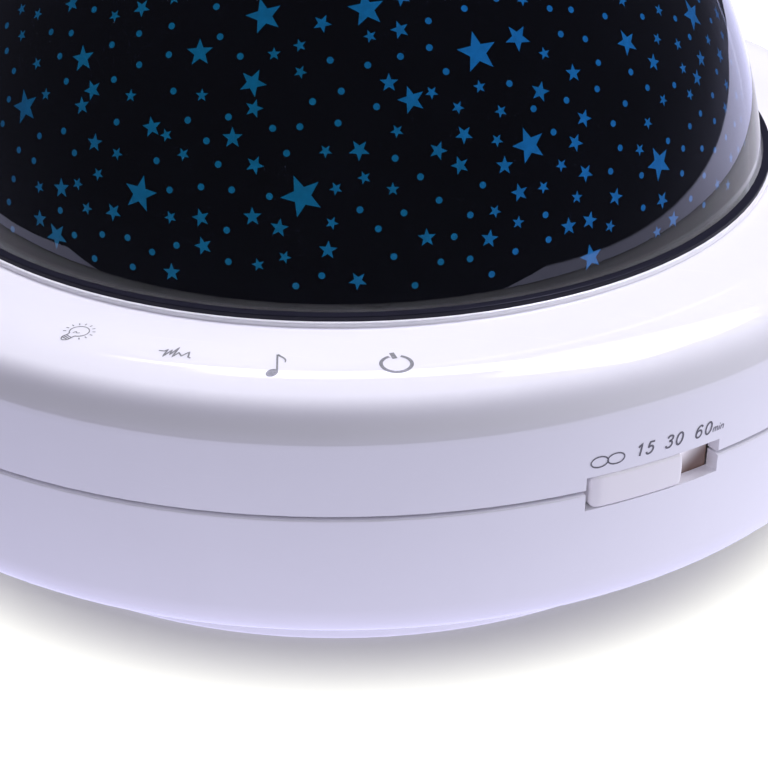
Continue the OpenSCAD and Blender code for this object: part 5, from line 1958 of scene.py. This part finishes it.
@dataclass(frozen=True)
class Studio:
    """Camera, floor, world and lamps."""

    camera_place: Point = (0.0645, -0.3088, 0.1824)
    pan: float = -10.38
    tilt: float = -29.875
    roll: float = 0.305
    lens: float = 89.06
    film_side: float = 36.0
    clip: Pair = (0.01, 50.0)
    floor_reach: float = 8.0
    sheet_x: Pair = (-0.375, 0.45)
    sheet_y: Pair = (-0.262, 0.6)
    sheet_soft: Pair = (0.003, 0.02)
    floor_white: Colour = (0.5, 0.5, 0.45)
    floor_cloud: float = 0.985
    bounce: Colour = (0.775, 0.74, 1.01)
    bounce_near: Pair = (1.14, 0.86)
    bounce_near_reach: Pair = (0.115, 0.165)
    bounce_reach: Pair = (0.17, 0.25)
    mirrored: Colour = (0.97, 0.97, 1.4)
    mirrored_lift: Pair = (1.0, 1.5)
    mirrored_reach: Pair = (0.0, 0.2)
    floor_lift: float = 0.06
    fade: Pair = (0.16, 0.6)
    dark: float = 0.036
    gloss_blue: float = 1.4
    deepest_view: float = 3.5
    horizon: Colour = (0.01, 0.01, 0.012)
    zenith: Colour = (0.02, 0.02, 0.024)
    glows: tuple[Glow, ...] = (
        Glow((166.0, 198.5), (37.8, 42.2), 4.0),
        Glow((168.0, 181.0), (36.4, 46.0), 4.0),
        Glow((196.0, 202.5), (37.7, 38.9), 3.0),
        Glow((177.0, 188.0), (31.4, 32.4), 0.8, tilt=0.66),
    )
    lamps: tuple[SoftBox, ...] = (
        SoftBox("back_softbox", (-0.05, 0.9, 0.87), (1.0, 0.5), 20.5, passes=DOME_PIECES),
        SoftBox("high_softbox", (0.0, 0.6, 1.2), (1.0, 0.6), 4.4, (0.95, 0.9, 1.4), DOME_PIECES),
        SoftBox("front_softbox", (0.0, -1.0, 1.0), (1.0, 0.5), 4.3, (1.0, 0.96, 1.15)),
        SoftBox("side_softbox", (0.95, 0.31, 0.3), (0.6, 0.5), 7.6, (1.0, 1.0, 1.07)),
        SoftBox("low_softbox", (0.5, -0.8, 0.2), (0.6, 0.3), 1.5, (1.0, 1.03, 1.05)),
        SoftBox("left_softbox", (-0.9, 0.3, 0.3), (0.6, 0.5), 3.0, (1.0, 0.97, 1.0)),
        SoftBox("floor_softbox", (0.0, -0.2, 1.2), (2.4, 2.4), 160.0, on_floor=True),
    )

    def camera(self) -> None:
        """Builds the camera."""
        pan, tilt, roll = (math.radians(angle) for angle in (self.pan, self.tilt, self.roll))
        ahead = Vector((math.sin(pan) * math.cos(tilt), math.cos(pan) * math.cos(tilt), math.sin(tilt)))
        level = Vector((math.cos(pan), -math.sin(pan), 0.0))
        above = level.cross(ahead)
        right = level * math.cos(roll) + above * math.sin(roll)
        up = above * math.cos(roll) - level * math.sin(roll)
        data = bpy.data.cameras.new("studio_camera")
        data.lens, data.sensor_fit = self.lens, "HORIZONTAL"
        data.sensor_width = data.sensor_height = self.film_side
        data.clip_start, data.clip_end = self.clip
        camera = bpy.data.objects.new("studio_camera", data)
        turned = Matrix((right, up, -ahead)).transposed().to_4x4()
        camera.matrix_world = Matrix.Translation(self.camera_place) @ turned
        bpy.context.scene.collection.objects.link(camera)
        bpy.context.scene.camera = camera

    def sheet(self, tree: Tree, parts: Any) -> Socket:
        """A mask of the sheet that the object stands on.

        Args:
            tree: The floor's tree.
            parts: The place's X and Y.

        Returns:
            The socket of the mask.
        """
        near, far = self.sheet_soft
        sides = []
        for axis, (low, high) in (("X", self.sheet_x), ("Y", self.sheet_y)):
            enter = tree.span(parts[axis], low - near, low + near, smooth=True)
            leave = tree.span(parts[axis], high - far, high + far, 1.0, 0.0, smooth=True)
            sides.append(tree.math("MULTIPLY", enter, leave))
        return tree.math("MULTIPLY", *sides)

    def floor_light(self, tree: Tree, parts: Any, path: Any) -> Socket:
        """The floor's own light: a bounce on the object, the sheet in gloss, and white far off.

        Args:
            tree: The floor's tree.
            parts: The place's X and Y.
            path: Outputs of the light path.

        Returns:
            The shader's socket.
        """
        on_sheet = self.sheet(tree, parts)
        squares = [tree.math("POWER", parts[axis], 2.0) for axis in "XY"]
        away = tree.math("SQRT", tree.math("ADD", *squares))
        near = tree.span(away, *self.bounce_near_reach, *self.bounce_near, smooth=True)
        lit = tree.math("MULTIPLY", near, tree.span(away, *self.bounce_reach, 1.0, 0.0, smooth=True))
        back = tree.span(parts["Y"], *self.mirrored_reach, *self.mirrored_lift)
        in_gloss = tree.math("MAXIMUM", tree.math("MULTIPLY", on_sheet, back), self.dark)
        unseen = tree.choose(path["Is Glossy Ray"], tree.math("MULTIPLY", on_sheet, lit), in_gloss)
        seen = tree.span(away, *self.fade, self.floor_lift, 1.0, smooth=True)
        strength = tree.choose(path["Is Camera Ray"], unseen, seen)
        tone = tree.mix(path["Is Glossy Ray"], self.bounce, self.mirrored)
        tone = tree.mix(path["Is Camera Ray"], tone, (1.0, 1.0, 1.0))
        return tree.add("ShaderNodeEmission", {"Color": tone, "Strength": strength}).outputs[0]

    def floor(self) -> None:
        """Builds the pale floor, which is clear from below."""
        mesh = bpy.data.meshes.new("studio_floor")
        far = self.floor_reach
        corners = [(-far, -far, 0.0), (far, -far, 0.0), (far, far, 0.0), (-far, far, 0.0)]
        mesh.from_pydata(corners, [], [(0, 1, 2, 3)])
        floor = bpy.data.objects.new("studio_floor", mesh)
        bpy.context.scene.collection.objects.link(floor)
        material = bpy.data.materials.new("floor_paper")
        material.use_nodes = True
        material.node_tree.nodes.clear()
        tree = Tree(material.node_tree)
        place = tree.add("ShaderNodeTexCoord").outputs["Object"]
        fibre = PressedFibre.on(tree, place, Fibre=0.8).outputs["Shade"]
        path = tree.add("ShaderNodeLightPath").outputs
        paper = tree.mix(fibre, self.floor_white, shaded(self.floor_white, self.floor_cloud))
        colour = tree.mix(path["Is Camera Ray"], (0.0, 0.0, 0.0), paper)
        body = tree.add("ShaderNodeBsdfDiffuse", {"Color": colour}).outputs[0]
        light = self.floor_light(tree, tree.axes(place), path)
        both = tree.add("ShaderNodeAddShader", {0: body, 1: light}).outputs[0]
        below = tree.add("ShaderNodeNewGeometry").outputs["Backfacing"]
        clear = tree.add("ShaderNodeBsdfTransparent").outputs[0]
        surface = tree.add("ShaderNodeMixShader", {0: below, 1: both, 2: clear}).outputs[0]
        tree.add("ShaderNodeOutputMaterial", {"Surface": surface})
        mesh.materials.append(material)

    def world(self) -> None:
        """Builds the world: white for the camera, a faint fill, and bright fields in the dark for gloss."""
        world = bpy.data.worlds.new("studio_world")
        world.use_nodes = True
        world.node_tree.nodes.clear()
        tree = Tree(world.node_tree)
        parts = tree.axes(tree.add("ShaderNodeTexCoord").outputs["Generated"])
        rise = tree.math("DEGREES", tree.math("ARCSINE", parts["Z"]))
        aside = tree.math("ARCTAN2", parts["X"], tree.math("MULTIPLY", parts["Y"], -1.0))
        turn = tree.math("FLOORED_MODULO", tree.math("DEGREES", aside), 360.0)
        level: Any = self.dark
        for glow in self.glows:
            level = tree.math("ADD", level, glow.brightness(tree, turn, rise))
        path = tree.add("ShaderNodeLightPath").outputs
        blue = tree.math("MULTIPLY", level, self.gloss_blue)
        gloss = tree.add("ShaderNodeCombineColor", {0: level, 1: level, 2: blue}).outputs[0]
        fill = tree.mix(tree.span(parts["Z"], 0.0, 1.0), self.horizon, self.zenith)
        unseen = tree.mix(path["Is Glossy Ray"], fill, gloss)
        shallow = tree.math("LESS_THAN", path["Ray Depth"], self.deepest_view)
        through = tree.math("MULTIPLY", path["Is Transmission Ray"], shallow)
        plain = tree.math("MAXIMUM", path["Is Camera Ray"], through)
        colour = tree.mix(plain, unseen, (1.0, 1.0, 1.0))
        background = tree.add("ShaderNodeBackground", {"Color": colour, "Strength": 1.0}).outputs[0]
        tree.add("ShaderNodeOutputWorld", {"Surface": background})
        bpy.context.scene.world = world

    def build(self) -> None:
        """Builds the studio but for its lamps."""
        bpy.context.scene.view_settings.view_transform = "Standard"
        self.camera()
        self.floor()
        self.world()

    def light(self) -> None:
        """Builds the lamps, once the pieces are there."""
        for lamp in self.lamps:
            lamp.build()


def main() -> None:
    """Builds the object and its studio in order."""
    logging.basicConfig(level=logging.INFO, format="%(name)s %(message)s")
    housings, studio = Housings(), Studio()
    studio.build()
    housings.build()
    Dome().build()
    TimerKnob().build()
    Marks(housings).build()
    InnerWorks().build()
    studio.light()


if __name__ == "__main__":
    main()
